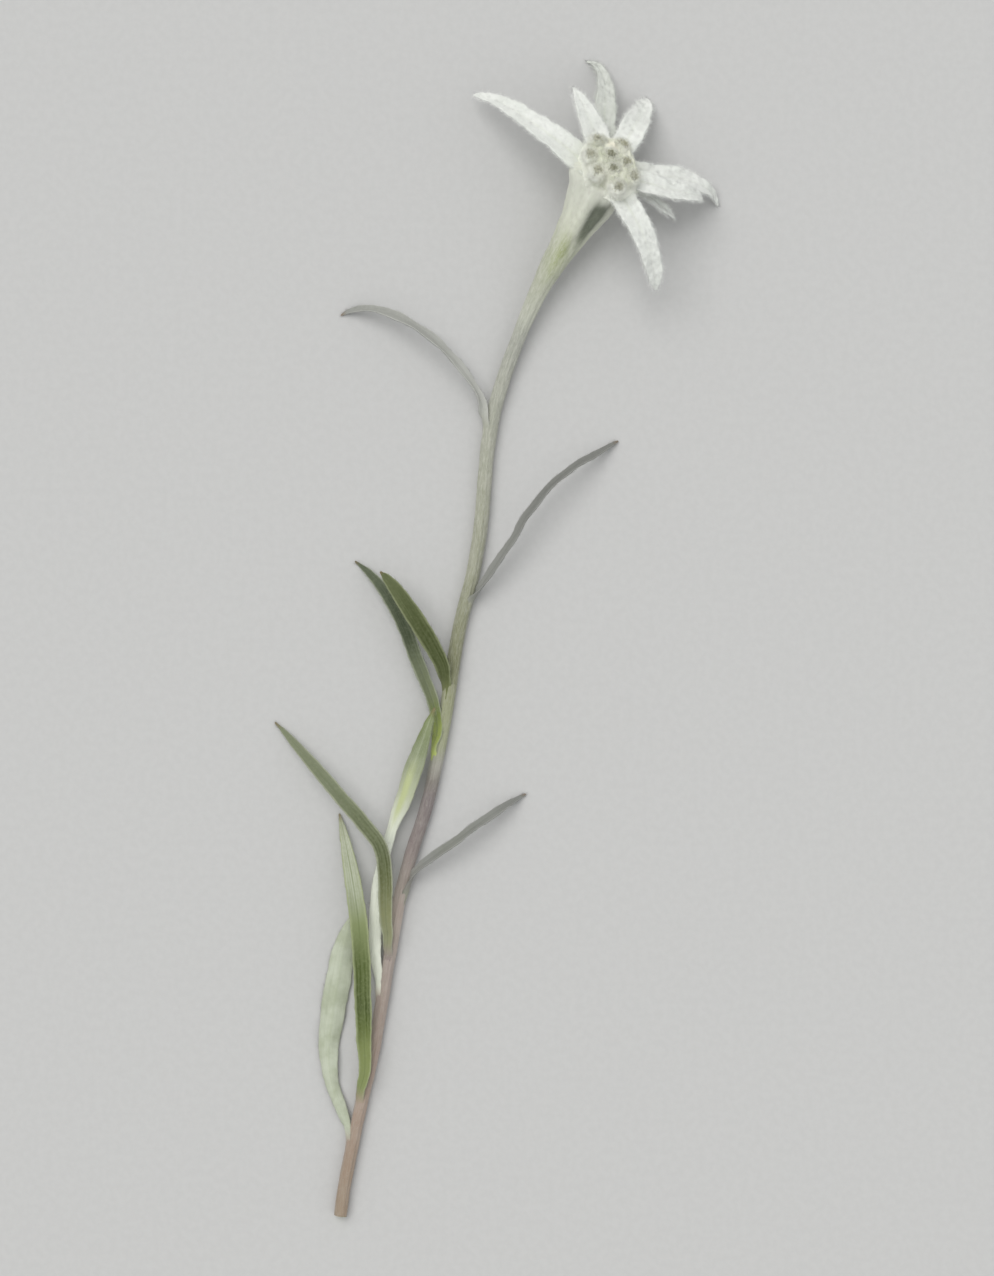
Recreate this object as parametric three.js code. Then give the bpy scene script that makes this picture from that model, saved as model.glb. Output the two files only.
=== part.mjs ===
// A cut edelweiss, one flowering stem lying on a flat surface with its star facing up.
// Millimetres, +Z up, the surface is z = 0, the cut end is at -Y and the star at +Y.
// Every piece is a closed solid: the stem with its flared neck, the woolly bracts of the star,
// the small flower heads (capitula) in its middle, and the leaves along the stem.
import * as THREE from 'three';
import { mergeVertices } from 'three/addons/utils/BufferGeometryUtils.js';

// ---------------------------------------------------------------- dimensions
const STEM_SIDES = 10;         // facets round the stem
const BLADE_STEPS = 13;        // rings along a leaf
const BRACT_STEPS = 13;        // rings along a bract
const BRACT_BASE_TAPER = 0.55; // share of the full width where a bract leaves the head
const EDGE_SHARE = 0.55;       // margin thickness as a share of the middle thickness
const HEAD_SIDES = 12;         // facets round one flower head
const HEAD_LENGTH = 3.3;       // a flower head from its foot to its crown
const HEAD_FOOT = 1.20;        // foot of a flower head above the receptacle
const HEAD_LEAN = 0.055;       // outward lean of a flower head per mm off the middle

// Tables. A stem row is x, y, z, radius. A leaf or bract row is x, y, z, half width, thickness,
// channel depth as a share of the half width, and the direction its upper face looks in.
// "start" is the share of its length where the free blade begins, clear of what it grows from.
// A capitulum is u, v in the plane of the star, height above it, and radius.
// --- shape tables
const HEAD_CENTRE = [21.36, 91.22, 12.5];
const HEAD_AXIS = [0.2600, 0.4000, 0.8789];
const STEM = [
    [-31.08, -114.78, 1.28, 1.28],
    [-30.36, -109.18, 1.27, 1.27],
    [-29.08, -102.78, 1.26, 1.26],
    [-27.72, -95.98, 1.26, 1.26],
    [-26.36, -89.98, 1.25, 1.25],
    [-25.0, -84.38, 1.25, 1.25],
    [-23.88, -78.38, 1.24, 1.24],
    [-22.84, -72.38, 1.24, 1.24],
    [-21.8, -65.98, 1.24, 1.24],
    [-20.76, -59.58, 1.24, 1.24],
    [-19.64, -53.18, 1.25, 1.25],
    [-18.28, -47.38, 1.26, 1.26],
    [-16.6, -41.58, 1.26, 1.26],
    [-14.84, -36.18, 1.26, 1.26],
    [-13.32, -30.78, 1.27, 1.27],
    [-11.88, -23.98, 1.28, 1.28],
    [-10.44, -16.38, 1.32, 1.32],
    [-9.24, -8.78, 1.32, 1.32],
    [-8.2, -1.98, 1.32, 1.32],
    [-6.84, 4.82, 1.34, 1.34],
    [-5.08, 11.62, 1.36, 1.36],
    [-3.8, 18.42, 1.38, 1.38],
    [-2.92, 25.62, 1.38, 1.38],
    [-2.36, 32.82, 1.39, 1.39],
    [-1.56, 40.02, 1.45, 1.4],
    [-0.12, 46.82, 1.6, 1.39],
    [1.72, 52.82, 1.95, 1.38],
    [3.96, 58.82, 2.6, 1.4],
    [5.88, 63.46, 3.35, 1.5],
    [8.36, 68.82, 4.35, 1.85],
    [11.24, 74.02, 5.45, 2.4],
    [14.12, 78.66, 6.65, 3.05],
    [16.6, 82.58, 8.0, 3.75],
    [18.6, 85.94, 9.55, 4.35],
    [20.12, 88.74, 11.2, 4.6],
    [21.08, 90.58, 12.35, 4.45],
  ];
const BRACTS = {
  "bract_left_long": {"start": 0.135, "rows": [
    [19.36, 91.22, 12.9, 2.6, 0.9, 0.05, 0.26, 0.4, 0.879],
    [16.76, 92.74, 13.2, 3.0, 0.9, 0.1, 0.26, 0.4, 0.879],
    [13.76, 94.98, 13.3, 3.05, 0.9, 0.16, 0.26, 0.4, 0.879],
    [10.36, 97.78, 12.7, 2.8, 0.85, 0.2, 0.2, 0.45, 0.87],
    [5.16, 101.94, 10.3, 2.15, 0.8, 0.24, 0.1, 0.5, 0.85],
    [-0.24, 105.78, 6.6, 1.35, 0.7, 0.26, 0.0, 0.45, 0.88],
    [-3.04, 107.06, 4.4, 0.75, 0.6, 0.24, -0.05, 0.4, 0.9],
    [-4.68, 107.62, 3.0, 0.2, 0.45, 0.15, -0.1, 0.35, 0.92],
  ]},
  "bract_upper_left": {"start": 0.22, "rows": [
    [20.96, 93.42, 11.6, 1.8, 0.9, 0.05, 0.26, 0.4, 0.879],
    [19.96, 96.22, 11.0, 2.6, 0.9, 0.1, 0.26, 0.4, 0.879],
    [18.6, 99.82, 10.5, 2.6, 0.85, 0.16, 0.26, 0.4, 0.879],
    [17.0, 103.62, 10.0, 1.85, 0.8, 0.22, 0.26, 0.4, 0.879],
    [15.72, 106.42, 9.4, 0.95, 0.6, 0.25, 0.26, 0.4, 0.879],
    [15.0, 107.94, 9.0, 0.2, 0.45, 0.15, 0.26, 0.4, 0.879],
  ]},
  "bract_top": {"start": 0.17, "rows": [
    [21.4, 93.82, 10.5, 1.6, 0.9, 0.05, 0.26, 0.4, 0.879],
    [21.24, 97.22, 9.3, 2.2, 0.9, 0.12, 0.26, 0.4, 0.879],
    [21.0, 101.42, 7.8, 2.25, 0.85, 0.18, 0.3, 0.42, 0.85],
    [21.28, 105.82, 5.9, 2.05, 0.8, 0.22, 0.34, 0.42, 0.84],
    [21.32, 109.42, 3.7, 1.65, 0.75, 0.24, 0.38, 0.4, 0.83],
    [20.68, 112.18, 1.9, 1.1, 0.65, 0.22, 0.36, 0.36, 0.86],
    [19.48, 114.02, 0.75, 0.6, 0.55, 0.15, 0.26, 0.3, 0.92],
    [17.88, 114.74, 0.24, 0.2, 0.4, 0.05, 0.16, 0.2, 0.96],
  ]},
  "bract_upper_right": {"start": 0.2, "rows": [
    [22.56, 92.42, 11.3, 1.6, 0.9, 0.05, 0.26, 0.4, 0.879],
    [24.04, 95.3, 10.1, 2.3, 0.9, 0.1, 0.26, 0.4, 0.879],
    [25.72, 98.26, 8.3, 2.6, 0.9, 0.16, 0.26, 0.4, 0.879],
    [27.32, 101.38, 6.4, 2.45, 0.85, 0.2, 0.26, 0.38, 0.89],
    [28.68, 104.18, 3.4, 1.95, 0.75, 0.22, 0.26, 0.36, 0.9],
    [29.56, 106.26, 1.25, 1.25, 0.6, 0.18, 0.26, 0.34, 0.91],
    [29.96, 107.3, 0.34, 0.5, 0.45, 0.08, 0.26, 0.34, 0.91],
  ]},
  "bract_right_back": {"start": 0.16, "rows": [
    [23.76, 91.3, 11.1, 1.7, 0.9, 0.05, 0.26, 0.4, 0.879],
    [26.96, 90.9, 10.2, 2.5, 0.9, 0.08, 0.26, 0.4, 0.879],
    [31.16, 90.54, 9.0, 2.5, 0.85, 0.12, 0.24, 0.44, 0.86],
    [35.56, 90.3, 7.5, 2.4, 0.8, 0.16, 0.22, 0.44, 0.87],
    [39.36, 89.66, 5.4, 1.95, 0.7, 0.18, 0.2, 0.4, 0.89],
    [42.04, 88.46, 3.2, 1.2, 0.6, 0.16, 0.22, 0.34, 0.91],
    [43.4, 87.14, 1.0, 0.6, 0.5, 0.12, 0.24, 0.3, 0.92],
    [43.96, 86.02, 0.24, 0.2, 0.4, 0.05, 0.24, 0.28, 0.93],
  ]},
  "bract_right_front": {"start": 0.17, "rows": [
    [23.36, 90.62, 12.7, 1.3, 0.9, 0.05, 0.26, 0.4, 0.879],
    [26.36, 89.38, 12.6, 2.2, 0.9, 0.1, 0.26, 0.4, 0.879],
    [30.36, 88.26, 12.35, 2.3, 0.85, 0.14, 0.24, 0.4, 0.88],
    [34.36, 87.5, 11.0, 2.15, 0.8, 0.18, 0.22, 0.39, 0.89],
    [37.56, 87.06, 9.35, 1.75, 0.7, 0.2, 0.22, 0.37, 0.9],
    [39.56, 86.78, 7.6, 1.2, 0.6, 0.16, 0.24, 0.36, 0.9],
    [40.44, 86.62, 6.7, 0.6, 0.45, 0.08, 0.24, 0.36, 0.9],
  ]},
  "bract_right_small": {"start": 0.36, "rows": [
    [24.76, 89.38, 11.2, 0.9, 0.7, 0.05, 0.26, 0.4, 0.879],
    [27.76, 87.62, 10.5, 1.2, 0.7, 0.1, 0.26, 0.4, 0.879],
    [30.76, 85.78, 9.2, 1.2, 0.65, 0.15, 0.26, 0.4, 0.879],
    [33.32, 84.1, 7.3, 0.85, 0.55, 0.18, 0.3, 0.3, 0.9],
    [35.08, 82.86, 5.6, 0.2, 0.4, 0.1, 0.3, 0.3, 0.9],
  ]},
  "bract_lower": {"start": 0.175, "rows": [
    [22.2, 89.38, 13.5, 1.7, 0.9, 0.05, 0.26, 0.4, 0.879],
    [23.8, 86.34, 14.4, 2.45, 0.9, 0.1, 0.26, 0.4, 0.879],
    [25.72, 82.98, 15.2, 2.6, 0.9, 0.15, 0.24, 0.3, 0.92],
    [27.72, 79.3, 15.3, 2.3, 0.85, 0.2, 0.26, 0.2, 0.94],
    [29.32, 75.46, 14.5, 2.1, 0.8, 0.23, 0.28, 0.05, 0.96],
    [30.44, 71.78, 12.9, 1.65, 0.7, 0.24, 0.28, -0.1, 0.95],
    [30.92, 69.38, 11.4, 0.95, 0.6, 0.2, 0.28, -0.2, 0.94],
    [31.08, 68.02, 10.4, 0.2, 0.4, 0.1, 0.28, -0.25, 0.93],
  ]},
};
const LEAVES = {
  "leaf_1": {"start": 0.085, "rows": [
    [-1.64, 42.42, 1.9, 0.75, 0.55, 0.3, 0.1, 0.6, 0.79],
    [-3.0, 45.94, 3.0, 0.95, 0.5, 0.3, 0.15, 0.65, 0.74],
    [-5.72, 51.26, 4.6, 1.05, 0.5, 0.28, 0.2, 0.7, 0.68],
    [-9.36, 55.62, 5.5, 1.15, 0.5, 0.25, 0.2, 0.72, 0.66],
    [-12.88, 58.9, 5.8, 1.2, 0.5, 0.22, 0.2, 0.72, 0.66],
    [-16.64, 61.62, 5.4, 1.15, 0.5, 0.2, 0.15, 0.7, 0.7],
    [-20.32, 63.7, 4.5, 1.05, 0.5, 0.18, 0.05, 0.64, 0.76],
    [-23.64, 64.86, 3.4, 0.95, 0.5, 0.15, 0.0, 0.56, 0.83],
    [-27.56, 65.26, 1.8, 0.75, 0.5, 0.1, 0.0, 0.46, 0.89],
    [-29.8, 64.86, 0.6, 0.45, 0.45, 0.06, 0.0, 0.4, 0.92],
    [-31.08, 64.18, 0.24, 0.175, 0.4, 0.02, 0.0, 0.4, 0.92],
  ]},
  "leaf_2": {"start": 0.085, "rows": [
    [-5.32, 7.22, 1.9, 0.75, 0.55, 0.3, -0.5, 0.5, 0.7],
    [-2.84, 10.46, 2.9, 0.9, 0.5, 0.3, -0.5, 0.5, 0.7],
    [0.4, 15.14, 4.1, 1.0, 0.5, 0.26, -0.55, 0.45, 0.7],
    [3.48, 19.82, 5.1, 1.0, 0.5, 0.22, -0.55, 0.45, 0.7],
    [6.24, 24.3, 5.7, 1.0, 0.5, 0.22, -0.5, 0.5, 0.7],
    [10.08, 29.3, 5.8, 0.95, 0.5, 0.2, -0.42, 0.56, 0.72],
    [14.72, 33.3, 4.8, 0.9, 0.5, 0.18, -0.34, 0.58, 0.74],
    [19.16, 36.18, 2.9, 0.75, 0.5, 0.12, -0.26, 0.52, 0.82],
    [22.28, 38.14, 1.0, 0.55, 0.45, 0.08, -0.2, 0.42, 0.88],
    [24.12, 39.22, 0.26, 0.175, 0.4, 0.02, -0.2, 0.4, 0.9],
  ]},
  "leaf_3": {"start": 0.085, "rows": [
    [-9.88, -9.38, 2.0, 1.15, 0.6, 0.25, -0.2, 0.1, 0.97],
    [-10.6, -6.18, 3.7, 1.4, 0.55, 0.25, -0.15, 0.05, 0.99],
    [-12.52, -1.98, 5.6, 1.65, 0.5, 0.22, -0.1, 0.05, 0.99],
    [-15.16, 2.58, 7.2, 1.75, 0.5, 0.2, -0.15, 0.08, 0.98],
    [-17.72, 6.5, 8.0, 1.65, 0.5, 0.18, -0.2, 0.12, 0.97],
    [-20.36, 10.18, 7.9, 1.25, 0.5, 0.15, -0.24, 0.2, 0.95],
    [-21.96, 12.02, 7.5, 0.75, 0.45, 0.1, -0.26, 0.24, 0.93],
    [-23.0, 13.06, 7.1, 0.2, 0.4, 0.04, -0.26, 0.24, 0.93],
  ]},
  "leaf_4": {"start": 0.205, "rows": [
    [-11.16, -22.38, 1.6, 0.85, 0.6, 0.25, -0.2, 0.1, 0.97],
    [-11.88, -18.78, 2.3, 1.1, 0.55, 0.25, -0.1, 0.1, 0.98],
    [-12.44, -14.14, 2.5, 1.2, 0.55, 0.25, 0.2, 0.2, 0.95],
    [-14.36, -8.54, 2.9, 1.35, 0.5, 0.22, 0.28, 0.2, 0.94],
    [-16.36, -3.5, 3.4, 1.45, 0.5, 0.2, 0.24, 0.2, 0.95],
    [-18.12, 1.46, 3.5, 1.45, 0.5, 0.18, 0.2, 0.2, 0.96],
    [-20.2, 5.78, 3.2, 1.35, 0.5, 0.16, 0.14, 0.2, 0.97],
    [-23.0, 10.1, 2.3, 1.1, 0.5, 0.12, 0.08, 0.18, 0.98],
    [-25.72, 13.14, 0.9, 0.7, 0.45, 0.08, 0.05, 0.16, 0.98],
    [-28.28, 15.3, 0.24, 0.175, 0.4, 0.02, 0.05, 0.16, 0.98],
  ]},
  "leaf_5": {"start": 0.125, "rows": [
    [-22.68, -70.78, 1.5, 0.75, 0.6, 0.2, 0.45, 0, -0.89],
    [-23.72, -66.78, 1.9, 0.95, 0.55, 0.22, 0.4, 0, -0.92],
    [-24.32, -61.98, 2.2, 1.2, 0.5, 0.22, 0.3, 0, -0.95],
    [-24.16, -54.78, 2.3, 1.35, 0.5, 0.22, 0.25, 0, -0.97],
    [-23.4, -47.58, 2.3, 1.25, 0.5, 0.2, 0.25, 0, -0.97],
    [-21.96, -41.58, 2.5, 1.1, 0.5, 0.2, 0.3, -0.1, -0.95],
    [-20.56, -36.78, 2.9, 1.2, 0.5, 0.2, 0.33, -0.12, -0.93],
    [-18.92, -32.38, 3.4, 1.7, 0.5, 0.18, 0.35, -0.15, -0.92],
    [-17.4, -27.82, 4.0, 2.0, 0.5, 0.18, 0.35, -0.18, -0.92],
    [-15.84, -23.42, 4.5, 1.75, 0.5, 0.16, 0.3, -0.15, -0.94],
    [-14.36, -19.18, 4.9, 1.25, 0.5, 0.14, 0.22, -0.12, -0.96],
    [-13.16, -15.98, 5.1, 0.7, 0.45, 0.1, 0.2, -0.1, -0.97],
    [-12.28, -13.74, 5.1, 0.2, 0.4, 0.04, 0.2, -0.1, -0.97],
  ]},
  "leaf_6": {"start": 0.15, "rows": [
    [-18.68, -50.22, 1.8, 0.7, 0.55, 0.3, -0.45, 0.45, 0.77],
    [-16.28, -46.46, 2.7, 0.9, 0.5, 0.28, -0.45, 0.5, 0.74],
    [-12.2, -43.18, 3.7, 1.0, 0.5, 0.24, -0.4, 0.55, 0.73],
    [-7.64, -39.9, 4.2, 1.05, 0.5, 0.2, -0.36, 0.58, 0.73],
    [-2.84, -36.38, 3.8, 1.0, 0.5, 0.18, -0.32, 0.56, 0.76],
    [1.36, -33.58, 2.5, 0.8, 0.5, 0.14, -0.28, 0.5, 0.82],
    [4.04, -31.98, 0.9, 0.5, 0.45, 0.08, -0.22, 0.42, 0.88],
    [5.72, -31.02, 0.25, 0.175, 0.4, 0.02, -0.2, 0.4, 0.9],
  ]},
  "leaf_7": {"start": 0.05, "rows": [
    [-21.32, -61.98, 2.2, 0.85, 0.6, 0.2, -0.1, 0.0, 0.99],
    [-21.64, -59.18, 3.4, 1.0, 0.55, 0.22, 0.0, -0.05, 0.99],
    [-21.96, -55.78, 4.6, 1.25, 0.5, 0.24, 0.1, -0.05, 0.99],
    [-22.08, -51.58, 5.6, 1.4, 0.5, 0.24, 0.1, -0.05, 0.99],
    [-22.04, -46.78, 6.4, 1.45, 0.5, 0.22, 0.05, -0.05, 1.0],
    [-23.0, -41.02, 7.2, 1.45, 0.5, 0.18, 0.0, -0.05, 1.0],
    [-26.68, -36.14, 7.2, 1.45, 0.5, 0.2, 0.1, 0.1, 0.99],
    [-31.24, -30.94, 6.4, 1.4, 0.5, 0.22, 0.15, 0.15, 0.98],
    [-36.04, -25.5, 4.4, 1.2, 0.5, 0.2, 0.1, 0.12, 0.98],
    [-40.2, -20.94, 2.2, 0.85, 0.5, 0.12, 0.05, 0.1, 0.99],
    [-42.68, -18.3, 0.65, 0.45, 0.45, 0.06, 0.05, 0.1, 0.99],
    [-44.2, -16.78, 0.24, 0.175, 0.4, 0.02, 0.05, 0.1, 0.99],
  ]},
  "leaf_8": {"start": 0.11, "rows": [
    [-26.28, -91.18, 2.1, 0.9, 0.6, 0.2, -0.1, 0.0, 0.99],
    [-26.2, -85.98, 3.6, 1.15, 0.55, 0.22, -0.1, -0.05, 0.99],
    [-26.28, -78.78, 4.5, 1.5, 0.5, 0.22, 0.0, -0.05, 1.0],
    [-26.52, -71.18, 4.9, 1.7, 0.5, 0.2, 0.1, 0.0, 0.99],
    [-26.84, -63.18, 4.9, 1.75, 0.5, 0.18, 0.15, 0.05, 0.98],
    [-27.4, -55.98, 4.5, 1.75, 0.5, 0.18, 0.1, 0.1, 0.98],
    [-28.36, -49.18, 3.8, 1.65, 0.5, 0.18, 0.0, 0.12, 0.98],
    [-29.56, -42.78, 2.6, 1.25, 0.5, 0.14, -0.05, 0.14, 0.98],
    [-30.68, -37.82, 1.15, 0.65, 0.45, 0.08, -0.05, 0.1, 0.99],
    [-31.4, -34.94, 0.3, 0.175, 0.4, 0.02, -0.05, 0.1, 0.99],
  ]},
  "leaf_9": {"start": 0.11, "rows": [
    [-28.2, -99.58, 1.4, 0.9, 0.6, 0.15, 0.15, 0.0, -0.99],
    [-30.68, -94.38, 1.4, 1.1, 0.55, 0.16, 0.1, 0.0, -0.99],
    [-32.84, -88.38, 1.3, 1.4, 0.55, 0.16, 0.05, 0.0, -1.0],
    [-33.48, -81.98, 1.4, 1.95, 0.5, 0.16, 0.0, 0.0, -1.0],
    [-32.76, -75.18, 1.4, 2.4, 0.5, 0.16, 0.0, 0.0, -1.0],
    [-31.48, -67.58, 1.25, 2.5, 0.5, 0.16, 0.0, 0.0, -1.0],
    [-30.6, -61.98, 0.95, 2.1, 0.5, 0.15, 0.0, 0.0, -1.0],
    [-29.64, -57.82, 0.6, 1.2, 0.45, 0.1, 0.0, 0.0, -1.0],
    [-28.76, -54.86, 0.35, 0.2, 0.4, 0.04, 0.0, 0.0, -1.0],
  ]},
};
const CAPITULA = {
  "capitulum_centre": [-0.28, 1.04, 3.2, 1.5],
  "capitulum_top_left": [-2.74, 4.20, 2.8, 1.52],
  "capitulum_top_right": [2.23, 3.90, 2.8, 1.65],
  "capitulum_right": [2.82, 0.10, 2.8, 1.5],
  "capitulum_low_right": [4.14, -2.76, 2.8, 1.5],
  "capitulum_bottom": [1.23, -5.62, 2.8, 1.5],
  "capitulum_low_centre": [0.12, -1.98, 3.1, 1.35],
  "capitulum_low_left": [-2.78, -2.61, 2.8, 1.5],
  "capitulum_left": [-4.15, 0.60, 2.8, 1.5],
};
// --- end of shape tables

// ---------------------------------------------------------------- colours
const FELT_WHITE = 0xdfe2d8;
const FELT_CREAM = 0xd9d6bd;
const LEAF_GREEN = 0x76875a;
const LEAF_GREY = 0xa4a995;
const STEM_GREY = 0xa3a58c;

// ---------------------------------------------------------------- curve helpers
// A centripetal Catmull-Rom curve through the rows, every column carried along with x, y, z.
function denseRows(rows, perSpan) {
  const n = rows.length;
  const mirror = (a, b) => a.map((v, i) => (i < 3 ? 2 * v - b[i] : v));
  const ext = [mirror(rows[0], rows[1]), ...rows, mirror(rows[n - 1], rows[n - 2])];
  const gap = (a, b) => Math.max(Math.sqrt(Math.hypot(a[0] - b[0], a[1] - b[1], a[2] - b[2])), 1e-4);
  const out = [];
  for (let i = 1; i < n; i++) {
    const [p0, p1, p2, p3] = [ext[i - 1], ext[i], ext[i + 1], ext[i + 2]];
    const d0 = gap(p0, p1), d1 = gap(p1, p2), d2 = gap(p2, p3);
    for (let k = 0; k < perSpan; k++) {
      const t = k / perSpan;
      out.push(p1.map((_, c) => {
        const m1 = ((p1[c] - p0[c]) / d0 - (p2[c] - p0[c]) / (d0 + d1) + (p2[c] - p1[c]) / d1) * d1;
        const m2 = ((p2[c] - p1[c]) / d1 - (p3[c] - p1[c]) / (d1 + d2) + (p3[c] - p2[c]) / d2) * d1;
        const t2 = t * t, t3 = t2 * t;
        return (2 * t3 - 3 * t2 + 1) * p1[c] + (t3 - 2 * t2 + t) * m1 + (3 * t2 - 2 * t3) * p2[c] + (t3 - t2) * m2;
      }));
    }
  }
  out.push([...rows[n - 1]]);
  return out;
}

// The dense rows read at shares of the arc length, each with its unit tangent.
function readAt(dense, shares) {
  const run = [0];
  for (let i = 1; i < dense.length; i++) {
    const a = dense[i - 1], b = dense[i];
    run.push(run[i - 1] + Math.hypot(a[0] - b[0], a[1] - b[1], a[2] - b[2]));
  }
  const total = run[run.length - 1];
  const at = (s) => {
    const want = Math.min(Math.max(s, 0), 1) * total;
    let i = 1;
    while (i < run.length - 1 && run[i] < want) i++;
    const f = (want - run[i - 1]) / Math.max(run[i] - run[i - 1], 1e-9);
    return dense[i].map((v, c) => dense[i - 1][c] + (v - dense[i - 1][c]) * Math.min(Math.max(f, 0), 1));
  };
  return shares.map((s) => {
    const row = at(s), a = at(s - 0.012), b = at(s + 0.012);
    const tangent = new THREE.Vector3(b[0] - a[0], b[1] - a[1], b[2] - a[2]).normalize();
    return { row, tangent };
  });
}

// A closed solid through equal rings of points, with both ends capped.
function loft(rings) {
  const m = rings[0].length;
  const xyz = [], index = [];
  for (const ring of rings) for (const p of ring) xyz.push(p.x, p.y, Math.max(p.z, 0));
  for (let r = 0; r + 1 < rings.length; r++) {
    for (let k = 0; k < m; k++) {
      const a = r * m + k, b = r * m + (k + 1) % m, c = a + m, d = b + m;
      index.push(a, b, d, a, d, c);
    }
  }
  const cap = (r, flip) => {
    const mid = new THREE.Vector3();
    for (const p of rings[r]) mid.add(p);
    mid.divideScalar(m);
    const centre = xyz.length / 3;
    xyz.push(mid.x, mid.y, Math.max(mid.z, 0));
    for (let k = 0; k < m; k++) {
      const a = r * m + k, b = r * m + (k + 1) % m;
      if (flip) index.push(centre, b, a); else index.push(centre, a, b);
    }
  };
  cap(0, true);
  cap(rings.length - 1, false);
  const geometry = new THREE.BufferGeometry();
  geometry.setAttribute('position', new THREE.Float32BufferAttribute(xyz, 3));
  geometry.setIndex(index);
  const position = geometry.getAttribute('position'), idx = geometry.getIndex();
  let volume = 0;
  const a = new THREE.Vector3(), b = new THREE.Vector3(), c = new THREE.Vector3();
  for (let i = 0; i < idx.count; i += 3) {
    a.fromBufferAttribute(position, idx.getX(i));
    b.fromBufferAttribute(position, idx.getX(i + 1));
    c.fromBufferAttribute(position, idx.getX(i + 2));
    volume += a.dot(b.cross(c)) / 6;
  }
  if (volume < 0) geometry.setIndex(index.map((_, i) => index[i - (i % 3) + [0, 2, 1][i % 3]]));
  const merged = mergeVertices(geometry, 1e-5);
  merged.computeVertexNormals();
  return merged;
}

const smooth = (t) => { const u = Math.min(Math.max(t, 0), 1); return u * u * (3 - 2 * u); };

// A leaf or bract: a thin blade swept along its middle line.
function blade({ start, rows }, steps, baseTaper) {
  const shares = [];
  for (let i = 0; i <= steps; i++) {
    const u = i / steps;
    shares.push(start + (0.996 - start) * (u + 0.10 * Math.sin(Math.PI * u) * u));
  }
  const rings = readAt(denseRows(rows, 24), shares).map(({ row, tangent }) => {
    const [x, y, z, half, thick, cup, fx, fy, fz] = row;
    const at = new THREE.Vector3(x, y, z);
    const up = new THREE.Vector3(fx, fy, fz);
    up.addScaledVector(tangent, -up.dot(tangent)).normalize();
    const side = new THREE.Vector3().crossVectors(tangent, up);
    return { at, up, side, half: Math.max(half, 0.16), thick: Math.max(thick, 0.3), cup };
  }).map((f, i) => {
    const taper = baseTaper + (1 - baseTaper) * smooth((shares[i] - start) / 0.22);
    const half = f.half * taper;
    const ring = [];
    const at = (s, sign) => {
      const t = 0.5 * f.thick * (1 - (1 - EDGE_SHARE) * s * s);
      return f.at.clone().addScaledVector(f.side, s * half).addScaledVector(f.up, f.cup * half * s * s + sign * t);
    };
    for (const s of [-1, -0.5, 0, 0.5, 1]) ring.push(at(s, 1));
    for (const s of [1, 0.5, 0, -0.5, -1]) ring.push(at(s, -1));
    return ring;
  });
  return loft(rings);
}

// The stem: rings square to its run, turning to the axis of the star at the top of the neck.
function stem() {
  const dense = denseRows(STEM, 12);
  const shares = [];
  for (let i = 0; i <= 34; i++) shares.push(0.86 * i / 34);
  for (let i = 1; i <= 9; i++) shares.push(0.86 + 0.14 * i / 9);
  const axis = new THREE.Vector3(...HEAD_AXIS).normalize();
  const rings = readAt(dense, shares).map(({ row, tangent }, i) => {
    const turn = smooth((shares[i] - 0.90) / 0.10);
    const along = tangent.clone().lerp(axis, turn).normalize();
    const up = new THREE.Vector3(0, 0, 1);
    up.addScaledVector(along, -up.dot(along)).normalize();
    const side = new THREE.Vector3().crossVectors(along, up);
    const ring = [];
    for (let k = 0; k < STEM_SIDES; k++) {
      const a = 2 * Math.PI * k / STEM_SIDES;
      ring.push(new THREE.Vector3(row[0], row[1], row[2])
        .addScaledVector(side, row[3] * Math.sin(a)).addScaledVector(up, -row[3] * Math.cos(a)));
    }
    return ring;
  });
  return loft(rings);
}

// One small flower head: an urn with a domed crown, standing on the receptacle.
function capitulum([u, v, height, radius]) {
  const axis = new THREE.Vector3(...HEAD_AXIS).normalize();
  const e1 = new THREE.Vector3(1, 0, 0).addScaledVector(axis, -axis.x).normalize();
  const e2 = new THREE.Vector3().crossVectors(axis, e1);
  const lean = axis.clone().addScaledVector(e1, HEAD_LEAN * u).addScaledVector(e2, HEAD_LEAN * v).normalize();
  const a1 = e1.clone().addScaledVector(lean, -e1.dot(lean)).normalize();
  const a2 = new THREE.Vector3().crossVectors(lean, a1);
  const middle = new THREE.Vector3(...HEAD_CENTRE).addScaledVector(e1, u).addScaledVector(e2, v)
    .addScaledVector(axis, height);
  const low = HEAD_FOOT - height, high = low + HEAD_LENGTH;
  const profile = [[0, 0.50], [0.14, 0.74], [0.34, 0.96], [0.56, 1.0], [0.76, 0.86], [0.92, 0.52], [1, 0.2]];
  const rings = profile.map(([t, share]) => {
    const ring = [];
    for (let k = 0; k < HEAD_SIDES; k++) {
      const a = 2 * Math.PI * k / HEAD_SIDES;
      ring.push(middle.clone().addScaledVector(lean, low + (high - low) * t)
        .addScaledVector(a1, radius * share * Math.cos(a)).addScaledVector(a2, radius * share * Math.sin(a)));
    }
    return ring;
  });
  return loft(rings);
}

// ---------------------------------------------------------------- the plant
const flower = new THREE.Group();
function add(name, geometry, color, roughness = 0.95) {
  const mesh = new THREE.Mesh(geometry, new THREE.MeshStandardMaterial({ color, roughness, metalness: 0 }));
  mesh.name = name;
  flower.add(mesh);
}

add('stem', stem(), STEM_GREY);
for (const [name, table] of Object.entries(BRACTS)) add(name, blade(table, BRACT_STEPS, BRACT_BASE_TAPER), FELT_WHITE);
for (const [name, table] of Object.entries(CAPITULA)) add(name, capitulum(table), FELT_CREAM);
for (const [name, table] of Object.entries(LEAVES)) {
  const slim = Math.max(...table.rows.map((row) => row[3])) < 1.3;
  add(name, blade(table, BLADE_STEPS, 1), slim ? LEAF_GREY : LEAF_GREEN, 0.85);
}

export default flower;
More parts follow.
